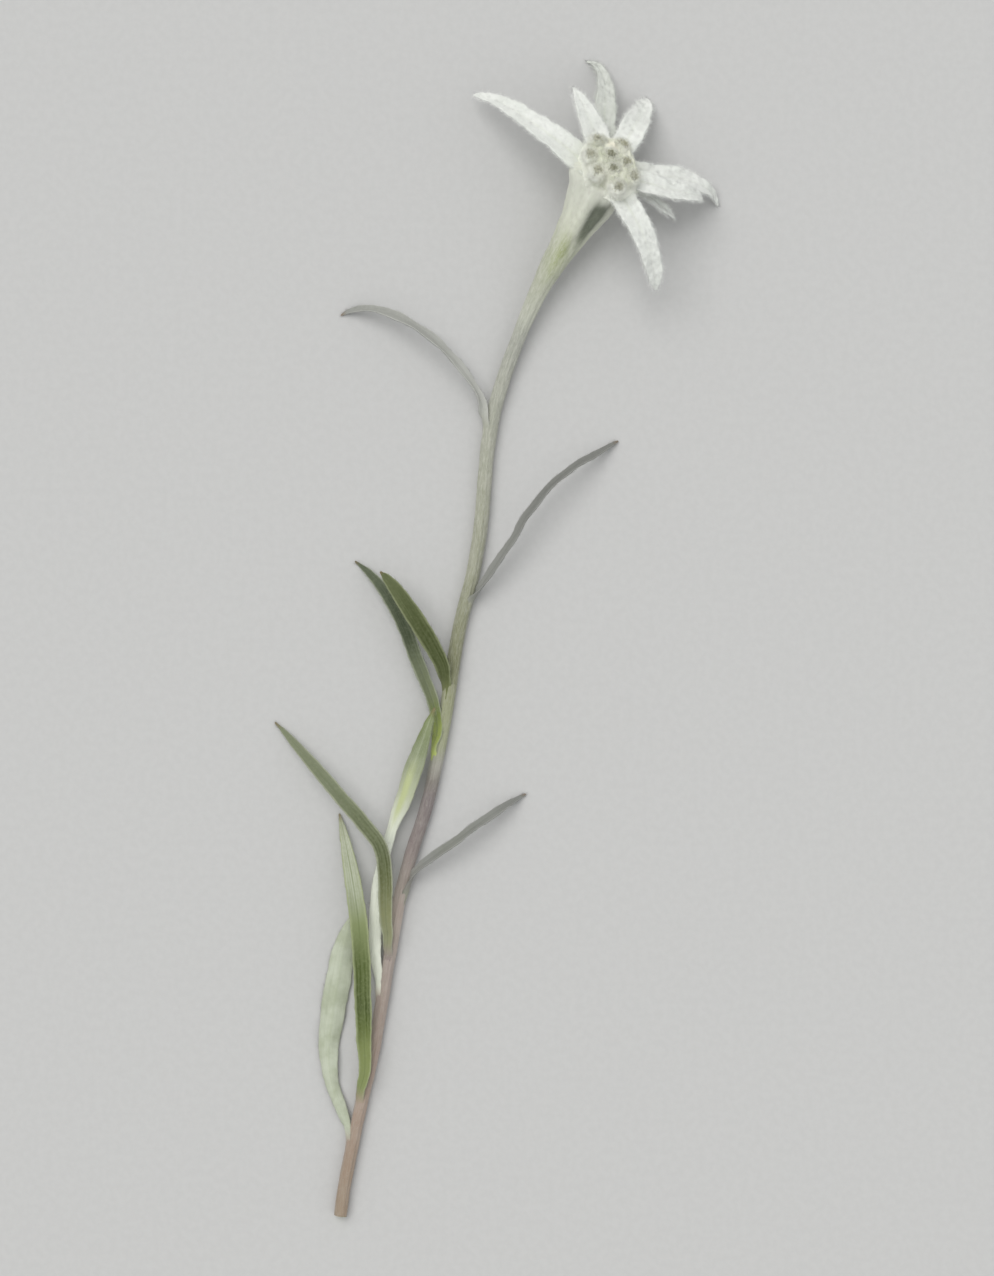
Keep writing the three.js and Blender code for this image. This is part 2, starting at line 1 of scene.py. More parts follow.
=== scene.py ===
"""A cut edelweiss stem lying on a pale surface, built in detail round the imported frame."""
import math

import bpy
import numpy as np
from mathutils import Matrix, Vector


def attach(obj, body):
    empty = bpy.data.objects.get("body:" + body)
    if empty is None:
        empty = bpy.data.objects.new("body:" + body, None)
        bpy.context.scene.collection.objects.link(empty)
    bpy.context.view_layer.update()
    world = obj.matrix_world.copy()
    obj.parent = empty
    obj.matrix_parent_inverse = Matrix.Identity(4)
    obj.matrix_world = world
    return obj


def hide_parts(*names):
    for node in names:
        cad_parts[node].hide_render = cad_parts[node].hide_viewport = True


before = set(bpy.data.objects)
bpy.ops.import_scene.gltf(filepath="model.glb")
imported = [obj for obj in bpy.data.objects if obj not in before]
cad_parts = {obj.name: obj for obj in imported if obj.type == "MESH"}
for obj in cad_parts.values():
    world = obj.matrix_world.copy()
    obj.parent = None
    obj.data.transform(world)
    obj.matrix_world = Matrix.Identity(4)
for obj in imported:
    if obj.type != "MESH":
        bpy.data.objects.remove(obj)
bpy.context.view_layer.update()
MM = 0.001

# --- shape tables
HEAD_CENTRE = [21.36, 91.22, 12.5]
HEAD_AXIS = [0.2600, 0.4000, 0.8789]
STEM = [
    [-31.08, -114.78, 1.28, 1.28],
    [-30.36, -109.18, 1.27, 1.27],
    [-29.08, -102.78, 1.26, 1.26],
    [-27.72, -95.98, 1.26, 1.26],
    [-26.36, -89.98, 1.25, 1.25],
    [-25.0, -84.38, 1.25, 1.25],
    [-23.88, -78.38, 1.24, 1.24],
    [-22.84, -72.38, 1.24, 1.24],
    [-21.8, -65.98, 1.24, 1.24],
    [-20.76, -59.58, 1.24, 1.24],
    [-19.64, -53.18, 1.25, 1.25],
    [-18.28, -47.38, 1.26, 1.26],
    [-16.6, -41.58, 1.26, 1.26],
    [-14.84, -36.18, 1.26, 1.26],
    [-13.32, -30.78, 1.27, 1.27],
    [-11.88, -23.98, 1.28, 1.28],
    [-10.44, -16.38, 1.32, 1.32],
    [-9.24, -8.78, 1.32, 1.32],
    [-8.2, -1.98, 1.32, 1.32],
    [-6.84, 4.82, 1.34, 1.34],
    [-5.08, 11.62, 1.36, 1.36],
    [-3.8, 18.42, 1.38, 1.38],
    [-2.92, 25.62, 1.38, 1.38],
    [-2.36, 32.82, 1.39, 1.39],
    [-1.56, 40.02, 1.45, 1.4],
    [-0.12, 46.82, 1.6, 1.39],
    [1.72, 52.82, 1.95, 1.38],
    [3.96, 58.82, 2.6, 1.4],
    [5.88, 63.46, 3.35, 1.5],
    [8.36, 68.82, 4.35, 1.85],
    [11.24, 74.02, 5.45, 2.4],
    [14.12, 78.66, 6.65, 3.05],
    [16.6, 82.58, 8.0, 3.75],
    [18.6, 85.94, 9.55, 4.35],
    [20.12, 88.74, 11.2, 4.6],
    [21.08, 90.58, 12.35, 4.45],
  ]
BRACTS = {
  "bract_left_long": {"start": 0.135, "rows": [
    [19.36, 91.22, 12.9, 2.6, 0.9, 0.05, 0.26, 0.4, 0.879],
    [16.76, 92.74, 13.2, 3.0, 0.9, 0.1, 0.26, 0.4, 0.879],
    [13.76, 94.98, 13.3, 3.05, 0.9, 0.16, 0.26, 0.4, 0.879],
    [10.36, 97.78, 12.7, 2.8, 0.85, 0.2, 0.2, 0.45, 0.87],
    [5.16, 101.94, 10.3, 2.15, 0.8, 0.24, 0.1, 0.5, 0.85],
    [-0.24, 105.78, 6.6, 1.35, 0.7, 0.26, 0.0, 0.45, 0.88],
    [-3.04, 107.06, 4.4, 0.75, 0.6, 0.24, -0.05, 0.4, 0.9],
    [-4.68, 107.62, 3.0, 0.2, 0.45, 0.15, -0.1, 0.35, 0.92],
  ]},
  "bract_upper_left": {"start": 0.22, "rows": [
    [20.96, 93.42, 11.6, 1.8, 0.9, 0.05, 0.26, 0.4, 0.879],
    [19.96, 96.22, 11.0, 2.6, 0.9, 0.1, 0.26, 0.4, 0.879],
    [18.6, 99.82, 10.5, 2.6, 0.85, 0.16, 0.26, 0.4, 0.879],
    [17.0, 103.62, 10.0, 1.85, 0.8, 0.22, 0.26, 0.4, 0.879],
    [15.72, 106.42, 9.4, 0.95, 0.6, 0.25, 0.26, 0.4, 0.879],
    [15.0, 107.94, 9.0, 0.2, 0.45, 0.15, 0.26, 0.4, 0.879],
  ]},
  "bract_top": {"start": 0.17, "rows": [
    [21.4, 93.82, 10.5, 1.6, 0.9, 0.05, 0.26, 0.4, 0.879],
    [21.24, 97.22, 9.3, 2.2, 0.9, 0.12, 0.26, 0.4, 0.879],
    [21.0, 101.42, 7.8, 2.25, 0.85, 0.18, 0.3, 0.42, 0.85],
    [21.28, 105.82, 5.9, 2.05, 0.8, 0.22, 0.34, 0.42, 0.84],
    [21.32, 109.42, 3.7, 1.65, 0.75, 0.24, 0.38, 0.4, 0.83],
    [20.68, 112.18, 1.9, 1.1, 0.65, 0.22, 0.36, 0.36, 0.86],
    [19.48, 114.02, 0.75, 0.6, 0.55, 0.15, 0.26, 0.3, 0.92],
    [17.88, 114.74, 0.24, 0.2, 0.4, 0.05, 0.16, 0.2, 0.96],
  ]},
  "bract_upper_right": {"start": 0.2, "rows": [
    [22.56, 92.42, 11.3, 1.6, 0.9, 0.05, 0.26, 0.4, 0.879],
    [24.04, 95.3, 10.1, 2.3, 0.9, 0.1, 0.26, 0.4, 0.879],
    [25.72, 98.26, 8.3, 2.6, 0.9, 0.16, 0.26, 0.4, 0.879],
    [27.32, 101.38, 6.4, 2.45, 0.85, 0.2, 0.26, 0.38, 0.89],
    [28.68, 104.18, 3.4, 1.95, 0.75, 0.22, 0.26, 0.36, 0.9],
    [29.56, 106.26, 1.25, 1.25, 0.6, 0.18, 0.26, 0.34, 0.91],
    [29.96, 107.3, 0.34, 0.5, 0.45, 0.08, 0.26, 0.34, 0.91],
  ]},
  "bract_right_back": {"start": 0.16, "rows": [
    [23.76, 91.3, 11.1, 1.7, 0.9, 0.05, 0.26, 0.4, 0.879],
    [26.96, 90.9, 10.2, 2.5, 0.9, 0.08, 0.26, 0.4, 0.879],
    [31.16, 90.54, 9.0, 2.5, 0.85, 0.12, 0.24, 0.44, 0.86],
    [35.56, 90.3, 7.5, 2.4, 0.8, 0.16, 0.22, 0.44, 0.87],
    [39.36, 89.66, 5.4, 1.95, 0.7, 0.18, 0.2, 0.4, 0.89],
    [42.04, 88.46, 3.2, 1.2, 0.6, 0.16, 0.22, 0.34, 0.91],
    [43.4, 87.14, 1.0, 0.6, 0.5, 0.12, 0.24, 0.3, 0.92],
    [43.96, 86.02, 0.24, 0.2, 0.4, 0.05, 0.24, 0.28, 0.93],
  ]},
  "bract_right_front": {"start": 0.17, "rows": [
    [23.36, 90.62, 12.7, 1.3, 0.9, 0.05, 0.26, 0.4, 0.879],
    [26.36, 89.38, 12.6, 2.2, 0.9, 0.1, 0.26, 0.4, 0.879],
    [30.36, 88.26, 12.35, 2.3, 0.85, 0.14, 0.24, 0.4, 0.88],
    [34.36, 87.5, 11.0, 2.15, 0.8, 0.18, 0.22, 0.39, 0.89],
    [37.56, 87.06, 9.35, 1.75, 0.7, 0.2, 0.22, 0.37, 0.9],
    [39.56, 86.78, 7.6, 1.2, 0.6, 0.16, 0.24, 0.36, 0.9],
    [40.44, 86.62, 6.7, 0.6, 0.45, 0.08, 0.24, 0.36, 0.9],
  ]},
  "bract_right_small": {"start": 0.36, "rows": [
    [24.76, 89.38, 11.2, 0.9, 0.7, 0.05, 0.26, 0.4, 0.879],
    [27.76, 87.62, 10.5, 1.2, 0.7, 0.1, 0.26, 0.4, 0.879],
    [30.76, 85.78, 9.2, 1.2, 0.65, 0.15, 0.26, 0.4, 0.879],
    [33.32, 84.1, 7.3, 0.85, 0.55, 0.18, 0.3, 0.3, 0.9],
    [35.08, 82.86, 5.6, 0.2, 0.4, 0.1, 0.3, 0.3, 0.9],
  ]},
  "bract_lower": {"start": 0.175, "rows": [
    [22.2, 89.38, 13.5, 1.7, 0.9, 0.05, 0.26, 0.4, 0.879],
    [23.8, 86.34, 14.4, 2.45, 0.9, 0.1, 0.26, 0.4, 0.879],
    [25.72, 82.98, 15.2, 2.6, 0.9, 0.15, 0.24, 0.3, 0.92],
    [27.72, 79.3, 15.3, 2.3, 0.85, 0.2, 0.26, 0.2, 0.94],
    [29.32, 75.46, 14.5, 2.1, 0.8, 0.23, 0.28, 0.05, 0.96],
    [30.44, 71.78, 12.9, 1.65, 0.7, 0.24, 0.28, -0.1, 0.95],
    [30.92, 69.38, 11.4, 0.95, 0.6, 0.2, 0.28, -0.2, 0.94],
    [31.08, 68.02, 10.4, 0.2, 0.4, 0.1, 0.28, -0.25, 0.93],
  ]},
}
LEAVES = {
  "leaf_1": {"start": 0.085, "rows": [
    [-1.64, 42.42, 1.9, 0.75, 0.55, 0.3, 0.1, 0.6, 0.79],
    [-3.0, 45.94, 3.0, 0.95, 0.5, 0.3, 0.15, 0.65, 0.74],
    [-5.72, 51.26, 4.6, 1.05, 0.5, 0.28, 0.2, 0.7, 0.68],
    [-9.36, 55.62, 5.5, 1.15, 0.5, 0.25, 0.2, 0.72, 0.66],
    [-12.88, 58.9, 5.8, 1.2, 0.5, 0.22, 0.2, 0.72, 0.66],
    [-16.64, 61.62, 5.4, 1.15, 0.5, 0.2, 0.15, 0.7, 0.7],
    [-20.32, 63.7, 4.5, 1.05, 0.5, 0.18, 0.05, 0.64, 0.76],
    [-23.64, 64.86, 3.4, 0.95, 0.5, 0.15, 0.0, 0.56, 0.83],
    [-27.56, 65.26, 1.8, 0.75, 0.5, 0.1, 0.0, 0.46, 0.89],
    [-29.8, 64.86, 0.6, 0.45, 0.45, 0.06, 0.0, 0.4, 0.92],
    [-31.08, 64.18, 0.24, 0.175, 0.4, 0.02, 0.0, 0.4, 0.92],
  ]},
  "leaf_2": {"start": 0.085, "rows": [
    [-5.32, 7.22, 1.9, 0.75, 0.55, 0.3, -0.5, 0.5, 0.7],
    [-2.84, 10.46, 2.9, 0.9, 0.5, 0.3, -0.5, 0.5, 0.7],
    [0.4, 15.14, 4.1, 1.0, 0.5, 0.26, -0.55, 0.45, 0.7],
    [3.48, 19.82, 5.1, 1.0, 0.5, 0.22, -0.55, 0.45, 0.7],
    [6.24, 24.3, 5.7, 1.0, 0.5, 0.22, -0.5, 0.5, 0.7],
    [10.08, 29.3, 5.8, 0.95, 0.5, 0.2, -0.42, 0.56, 0.72],
    [14.72, 33.3, 4.8, 0.9, 0.5, 0.18, -0.34, 0.58, 0.74],
    [19.16, 36.18, 2.9, 0.75, 0.5, 0.12, -0.26, 0.52, 0.82],
    [22.28, 38.14, 1.0, 0.55, 0.45, 0.08, -0.2, 0.42, 0.88],
    [24.12, 39.22, 0.26, 0.175, 0.4, 0.02, -0.2, 0.4, 0.9],
  ]},
  "leaf_3": {"start": 0.085, "rows": [
    [-9.88, -9.38, 2.0, 1.15, 0.6, 0.25, -0.2, 0.1, 0.97],
    [-10.6, -6.18, 3.7, 1.4, 0.55, 0.25, -0.15, 0.05, 0.99],
    [-12.52, -1.98, 5.6, 1.65, 0.5, 0.22, -0.1, 0.05, 0.99],
    [-15.16, 2.58, 7.2, 1.75, 0.5, 0.2, -0.15, 0.08, 0.98],
    [-17.72, 6.5, 8.0, 1.65, 0.5, 0.18, -0.2, 0.12, 0.97],
    [-20.36, 10.18, 7.9, 1.25, 0.5, 0.15, -0.24, 0.2, 0.95],
    [-21.96, 12.02, 7.5, 0.75, 0.45, 0.1, -0.26, 0.24, 0.93],
    [-23.0, 13.06, 7.1, 0.2, 0.4, 0.04, -0.26, 0.24, 0.93],
  ]},
  "leaf_4": {"start": 0.205, "rows": [
    [-11.16, -22.38, 1.6, 0.85, 0.6, 0.25, -0.2, 0.1, 0.97],
    [-11.88, -18.78, 2.3, 1.1, 0.55, 0.25, -0.1, 0.1, 0.98],
    [-12.44, -14.14, 2.5, 1.2, 0.55, 0.25, 0.2, 0.2, 0.95],
    [-14.36, -8.54, 2.9, 1.35, 0.5, 0.22, 0.28, 0.2, 0.94],
    [-16.36, -3.5, 3.4, 1.45, 0.5, 0.2, 0.24, 0.2, 0.95],
    [-18.12, 1.46, 3.5, 1.45, 0.5, 0.18, 0.2, 0.2, 0.96],
    [-20.2, 5.78, 3.2, 1.35, 0.5, 0.16, 0.14, 0.2, 0.97],
    [-23.0, 10.1, 2.3, 1.1, 0.5, 0.12, 0.08, 0.18, 0.98],
    [-25.72, 13.14, 0.9, 0.7, 0.45, 0.08, 0.05, 0.16, 0.98],
    [-28.28, 15.3, 0.24, 0.175, 0.4, 0.02, 0.05, 0.16, 0.98],
  ]},
  "leaf_5": {"start": 0.125, "rows": [
    [-22.68, -70.78, 1.5, 0.75, 0.6, 0.2, 0.45, 0, -0.89],
    [-23.72, -66.78, 1.9, 0.95, 0.55, 0.22, 0.4, 0, -0.92],
    [-24.32, -61.98, 2.2, 1.2, 0.5, 0.22, 0.3, 0, -0.95],
    [-24.16, -54.78, 2.3, 1.35, 0.5, 0.22, 0.25, 0, -0.97],
    [-23.4, -47.58, 2.3, 1.25, 0.5, 0.2, 0.25, 0, -0.97],
    [-21.96, -41.58, 2.5, 1.1, 0.5, 0.2, 0.3, -0.1, -0.95],
    [-20.56, -36.78, 2.9, 1.2, 0.5, 0.2, 0.33, -0.12, -0.93],
    [-18.92, -32.38, 3.4, 1.7, 0.5, 0.18, 0.35, -0.15, -0.92],
    [-17.4, -27.82, 4.0, 2.0, 0.5, 0.18, 0.35, -0.18, -0.92],
    [-15.84, -23.42, 4.5, 1.75, 0.5, 0.16, 0.3, -0.15, -0.94],
    [-14.36, -19.18, 4.9, 1.25, 0.5, 0.14, 0.22, -0.12, -0.96],
    [-13.16, -15.98, 5.1, 0.7, 0.45, 0.1, 0.2, -0.1, -0.97],
    [-12.28, -13.74, 5.1, 0.2, 0.4, 0.04, 0.2, -0.1, -0.97],
  ]},
  "leaf_6": {"start": 0.15, "rows": [
    [-18.68, -50.22, 1.8, 0.7, 0.55, 0.3, -0.45, 0.45, 0.77],
    [-16.28, -46.46, 2.7, 0.9, 0.5, 0.28, -0.45, 0.5, 0.74],
    [-12.2, -43.18, 3.7, 1.0, 0.5, 0.24, -0.4, 0.55, 0.73],
    [-7.64, -39.9, 4.2, 1.05, 0.5, 0.2, -0.36, 0.58, 0.73],
    [-2.84, -36.38, 3.8, 1.0, 0.5, 0.18, -0.32, 0.56, 0.76],
    [1.36, -33.58, 2.5, 0.8, 0.5, 0.14, -0.28, 0.5, 0.82],
    [4.04, -31.98, 0.9, 0.5, 0.45, 0.08, -0.22, 0.42, 0.88],
    [5.72, -31.02, 0.25, 0.175, 0.4, 0.02, -0.2, 0.4, 0.9],
  ]},
  "leaf_7": {"start": 0.05, "rows": [
    [-21.32, -61.98, 2.2, 0.85, 0.6, 0.2, -0.1, 0.0, 0.99],
    [-21.64, -59.18, 3.4, 1.0, 0.55, 0.22, 0.0, -0.05, 0.99],
    [-21.96, -55.78, 4.6, 1.25, 0.5, 0.24, 0.1, -0.05, 0.99],
    [-22.08, -51.58, 5.6, 1.4, 0.5, 0.24, 0.1, -0.05, 0.99],
    [-22.04, -46.78, 6.4, 1.45, 0.5, 0.22, 0.05, -0.05, 1.0],
    [-23.0, -41.02, 7.2, 1.45, 0.5, 0.18, 0.0, -0.05, 1.0],
    [-26.68, -36.14, 7.2, 1.45, 0.5, 0.2, 0.1, 0.1, 0.99],
    [-31.24, -30.94, 6.4, 1.4, 0.5, 0.22, 0.15, 0.15, 0.98],
    [-36.04, -25.5, 4.4, 1.2, 0.5, 0.2, 0.1, 0.12, 0.98],
    [-40.2, -20.94, 2.2, 0.85, 0.5, 0.12, 0.05, 0.1, 0.99],
    [-42.68, -18.3, 0.65, 0.45, 0.45, 0.06, 0.05, 0.1, 0.99],
    [-44.2, -16.78, 0.24, 0.175, 0.4, 0.02, 0.05, 0.1, 0.99],
  ]},
  "leaf_8": {"start": 0.11, "rows": [
    [-26.28, -91.18, 2.1, 0.9, 0.6, 0.2, -0.1, 0.0, 0.99],
    [-26.2, -85.98, 3.6, 1.15, 0.55, 0.22, -0.1, -0.05, 0.99],
    [-26.28, -78.78, 4.5, 1.5, 0.5, 0.22, 0.0, -0.05, 1.0],
    [-26.52, -71.18, 4.9, 1.7, 0.5, 0.2, 0.1, 0.0, 0.99],
    [-26.84, -63.18, 4.9, 1.75, 0.5, 0.18, 0.15, 0.05, 0.98],
    [-27.4, -55.98, 4.5, 1.75, 0.5, 0.18, 0.1, 0.1, 0.98],
    [-28.36, -49.18, 3.8, 1.65, 0.5, 0.18, 0.0, 0.12, 0.98],
    [-29.56, -42.78, 2.6, 1.25, 0.5, 0.14, -0.05, 0.14, 0.98],
    [-30.68, -37.82, 1.15, 0.65, 0.45, 0.08, -0.05, 0.1, 0.99],
    [-31.4, -34.94, 0.3, 0.175, 0.4, 0.02, -0.05, 0.1, 0.99],
  ]},
  "leaf_9": {"start": 0.11, "rows": [
    [-28.2, -99.58, 1.4, 0.9, 0.6, 0.15, 0.15, 0.0, -0.99],
    [-30.68, -94.38, 1.4, 1.1, 0.55, 0.16, 0.1, 0.0, -0.99],
    [-32.84, -88.38, 1.3, 1.4, 0.55, 0.16, 0.05, 0.0, -1.0],
    [-33.48, -81.98, 1.4, 1.95, 0.5, 0.16, 0.0, 0.0, -1.0],
    [-32.76, -75.18, 1.4, 2.4, 0.5, 0.16, 0.0, 0.0, -1.0],
    [-31.48, -67.58, 1.25, 2.5, 0.5, 0.16, 0.0, 0.0, -1.0],
    [-30.6, -61.98, 0.95, 2.1, 0.5, 0.15, 0.0, 0.0, -1.0],
    [-29.64, -57.82, 0.6, 1.2, 0.45, 0.1, 0.0, 0.0, -1.0],
    [-28.76, -54.86, 0.35, 0.2, 0.4, 0.04, 0.0, 0.0, -1.0],
  ]},
}
CAPITULA = {
  "capitulum_centre": [-0.28, 1.04, 3.2, 1.5],
  "capitulum_top_left": [-2.74, 4.20, 2.8, 1.52],
  "capitulum_top_right": [2.23, 3.90, 2.8, 1.65],
  "capitulum_right": [2.82, 0.10, 2.8, 1.5],
  "capitulum_low_right": [4.14, -2.76, 2.8, 1.5],
  "capitulum_bottom": [1.23, -5.62, 2.8, 1.5],
  "capitulum_low_centre": [0.12, -1.98, 3.1, 1.35],
  "capitulum_low_left": [-2.78, -2.61, 2.8, 1.5],
  "capitulum_left": [-4.15, 0.60, 2.8, 1.5],
}
# --- end of shape tables

HEAD_FOOT = 1.20
HEAD_LENGTH = 3.3
HEAD_LEAN = 0.055

RNG = np.random.default_rng(20240611)


# ---------------------------------------------------------------- small vector helpers
def unit(v):
    v = np.asarray(v, float)
    return v / np.maximum(np.linalg.norm(v, axis=-1, keepdims=True), 1e-12)


def smooth(t):
    t = np.clip(t, 0.0, 1.0)
    return t * t * (3 - 2 * t)


def bell(x, middle, width):
    return np.exp(-(((x - middle) / width) ** 2))


class Ripple:
    """A smooth noise: a sum of waves in random directions, the same on every run."""

    def __init__(self, seed, wavelength, spread=0.45, count=28):
        r = np.random.default_rng(seed)
        d = unit(r.normal(size=(count, 3)))
        k = 2 * math.pi / (wavelength * np.exp(r.normal(0, spread, count)))
        self.k = d * k[:, None]
        self.p = r.uniform(0, 2 * math.pi, count)
        self.a = math.sqrt(2.0 / count)

    def __call__(self, xyz):
        xyz = np.asarray(xyz, float)
        flat = xyz.reshape(-1, 3)
        out = np.zeros(len(flat))
        for k, p in zip(self.k, self.p):
            out += np.sin(flat @ k + p)
        return (out * self.a).reshape(xyz.shape[:-1])


# ---------------------------------------------------------------- curves through the tables
def dense_rows(rows, per=24):
    rows = np.array(rows, float)
    first, last = rows[0].copy(), rows[-1].copy()
    first[:3] = 2 * rows[0, :3] - rows[1, :3]
    last[:3] = 2 * rows[-1, :3] - rows[-2, :3]
    ext = np.vstack([first, rows, last])
    out = []
    for i in range(1, len(rows)):
        p0, p1, p2, p3 = ext[i - 1 : i + 3]
        d = [max(math.sqrt(np.linalg.norm(b[:3] - a[:3])), 1e-4) for a, b in ((p0, p1), (p1, p2), (p2, p3))]
        m1 = ((p1 - p0) / d[0] - (p2 - p0) / (d[0] + d[1]) + (p2 - p1) / d[1]) * d[1]
        m2 = ((p2 - p1) / d[1] - (p3 - p1) / (d[1] + d[2]) + (p3 - p2) / d[2]) * d[1]
        t = (np.arange(per) / per)[:, None]
        out.append(
            (2 * t**3 - 3 * t**2 + 1) * p1
            + (t**3 - 2 * t**2 + t) * m1
            + (3 * t**2 - 2 * t**3) * p2
            + (t**3 - t**2) * m2
        )
    out.append(rows[-1:])
    return np.vstack(out)


class Track:
    """A table's curve, read by share of its arc length."""

    def __init__(self, rows):
        self.d = dense_rows(rows)
        step = np.linalg.norm(np.diff(self.d[:, :3], axis=0), axis=1)
        self.run = np.concatenate([[0], np.cumsum(step)])
        self.length = self.run[-1]

    def __call__(self, share):
        want = np.clip(np.asarray(share, float), 0, 1) * self.length
        return np.stack([np.interp(want, self.run, self.d[:, c]) for c in range(self.d.shape[1])], -1)

    def tangent(self, share, reach=0.012):
        share = np.asarray(share, float)
        return unit(self(share + reach)[..., :3] - self(share - reach)[..., :3])


# ---------------------------------------------------------------- mesh assembly
class Mesh:
    """Collects closed shapes with their surface data, and makes one Blender object of them."""

    def __init__(self):
        self.co, self.quads, self.tris = [], [], []
        self.qm, self.tm = [], []
        self.data = {k: [] for k in ("along", "across", "face", "hair", "seed", "root")}
        self.uv, self.nrm = [], []
        self.n = 0

    def add(self, co, quads=None, tris=None, material=0, uv=None, normal=None, **data):
        co = np.asarray(co, float).reshape(-1, 3)
        n = len(co)
        self.co.append(co)
        if quads is not None and len(quads):
            self.quads.append(np.asarray(quads, np.int64) + self.n)
            self.qm.append(np.full(len(quads), material, np.int32))
        if tris is not None and len(tris):
            self.tris.append(np.asarray(tris, np.int64) + self.n)
            self.tm.append(np.full(len(tris), material, np.int32))
        for k in self.data:
            v = data.get(k, 0.0)
            self.data[k].append(np.broadcast_to(np.asarray(v, float), (n,)) if np.ndim(v) == 0 else np.asarray(v, float).ravel())
        self.uv.append(np.zeros((n, 2)) if uv is None else np.asarray(uv, float).reshape(-1, 2))
        self.nrm.append(np.zeros((n, 3)) if normal is None else np.asarray(normal, float).reshape(-1, 3))
        self.n += n

    def make(self, name, materials, smooth_shade=True, floor=0.0):
        co = np.concatenate(self.co)
        co[:, 2] = np.maximum(co[:, 2], floor)
        quads = np.concatenate(self.quads) if self.quads else np.zeros((0, 4), np.int64)
        tris = np.concatenate(self.tris) if self.tris else np.zeros((0, 3), np.int64)
        mesh = bpy.data.meshes.new(name)
        mesh.vertices.add(len(co))
        mesh.vertices.foreach_set("co", (co * MM).astype(np.float32).ravel())
        loops = np.concatenate([quads.ravel(), tris.ravel()]).astype(np.int32)
        mesh.loops.add(len(loops))
        mesh.loops.foreach_set("vertex_index", loops)
        total = np.concatenate([np.full(len(quads), 4), np.full(len(tris), 3)]).astype(np.int32)
        start = np.concatenate([[0], np.cumsum(total)[:-1]]).astype(np.int32)
        mesh.polygons.add(len(total))
        mesh.polygons.foreach_set("loop_start", start)
        mesh.polygons.foreach_set("loop_total", total)
        index = np.concatenate([*(self.qm or [np.zeros(0, np.int32)]), *(self.tm or [np.zeros(0, np.int32)])])
        mesh.update(calc_edges=True)
        mesh.polygons.foreach_set("material_index", index.astype(np.int32))
        mesh.polygons.foreach_set("use_smooth", np.full(len(total), smooth_shade))
        for k, parts in self.data.items():
            layer = mesh.attributes.new(k, "FLOAT", "POINT")
            layer.data.foreach_set("value", np.concatenate(parts).astype(np.float32))
        uv = np.concatenate(self.uv)[loops].astype(np.float32)
        mesh.uv_layers.new(name="OFBake", do_init=False).uv.foreach_set("vector", uv.ravel())
        for m in materials:
            mesh.materials.append(m)
        mesh.validate()
        mesh.update()
        # hairs are shaded like the felt that they lie on; a zero normal is worked out from the faces
        mesh.normals_split_custom_set_from_vertices(np.concatenate(self.nrm).astype(np.float32).tolist())
        obj = bpy.data.objects.new(name, mesh)
        bpy.context.scene.collection.objects.link(obj)
        return obj


def grid_faces(rings, around, flip=False):
    r, k = np.meshgrid(np.arange(rings - 1), np.arange(around), indexing="ij")
    a = (r * around + k).ravel()
    b = (r * around + (k + 1) % around).ravel()
    q = np.stack([a, b, b + around, a + around], 1)
    return q[:, ::-1] if flip else q


def cap_faces(ring, around, centre, flip):
    k = np.arange(around)
    a, b = ring * around + k, ring * around + (k + 1) % around
    t = np.stack([np.full(around, centre), a, b], 1)
    return t[:, ::-1] if flip else t


def grid_normals(points):
    """Outward normals of a closed tube of rings, as (rings, around, 3)."""
    du = np.gradient(points, axis=0)
    dv = np.roll(points, -1, 1) - np.roll(points, 1, 1)
    return unit(np.cross(dv, du))


def add_tube(mesh, points, material=0, along=None, across=None, face=None, root=None, seed=0.0):
    """A closed tube through rings of points (rings, around, 3), with both ends capped."""
    rings, around = points.shape[:2]
    mid0, mid1 = points[0].mean(0), points[-1].mean(0)
    co = np.concatenate([points.reshape(-1, 3), [mid0, mid1]])
    quads = grid_faces(rings, around)
    tris = np.concatenate([cap_faces(0, around, rings * around, True), cap_faces(rings - 1, around, rings * around + 1, False)])
    # the sign of the volume says which way the faces look
    a, b, c = co[quads[:, 0]], co[quads[:, 1]], co[quads[:, 2]]
    d = co[quads[:, 3]]
    centre = co.mean(0)
    vol = (np.einsum("ij,ij->i", a - centre, np.cross(b - centre, c - centre)) + np.einsum("ij,ij->i", a - centre, np.cross(c - centre, d - centre))).sum()
    if vol < 0:
        quads, tris = quads[:, ::-1], tris[:, ::-1]

    def ext(v, e0, e1):
        return np.concatenate([np.asarray(v, float).ravel(), [e0, e1]])

    al = np.zeros((rings, around)) if along is None else np.broadcast_to(along, (rings, around))
    ac = np.zeros((rings, around)) if across is None else np.broadcast_to(across, (rings, around))
    fc = np.zeros((rings, around)) if face is None else np.broadcast_to(face, (rings, around))
    rt = np.zeros((rings, around)) if root is None else np.broadcast_to(root, (rings, around))
    r = np.linspace(0, 1, rings)[:, None] * np.ones((1, around))
    k = np.ones((rings, 1)) * (np.arange(around) / around)[None]
    uv = np.stack([0.01 + 0.47 * r.ravel(), 0.01 + 0.98 * k.ravel()], 1)
    uv = np.concatenate([uv, [[0.005, 0.5], [0.49, 0.5]]])
    mesh.add(
        co, quads, tris, material, uv,
        along=ext(al, al[0].mean(), al[-1].mean()), across=ext(ac, 0, 0), face=ext(fc, fc[0].mean(), fc[-1].mean()),
        hair=0.0, seed=seed, root=ext(rt, rt[0].mean(), rt[-1].mean()),
    )


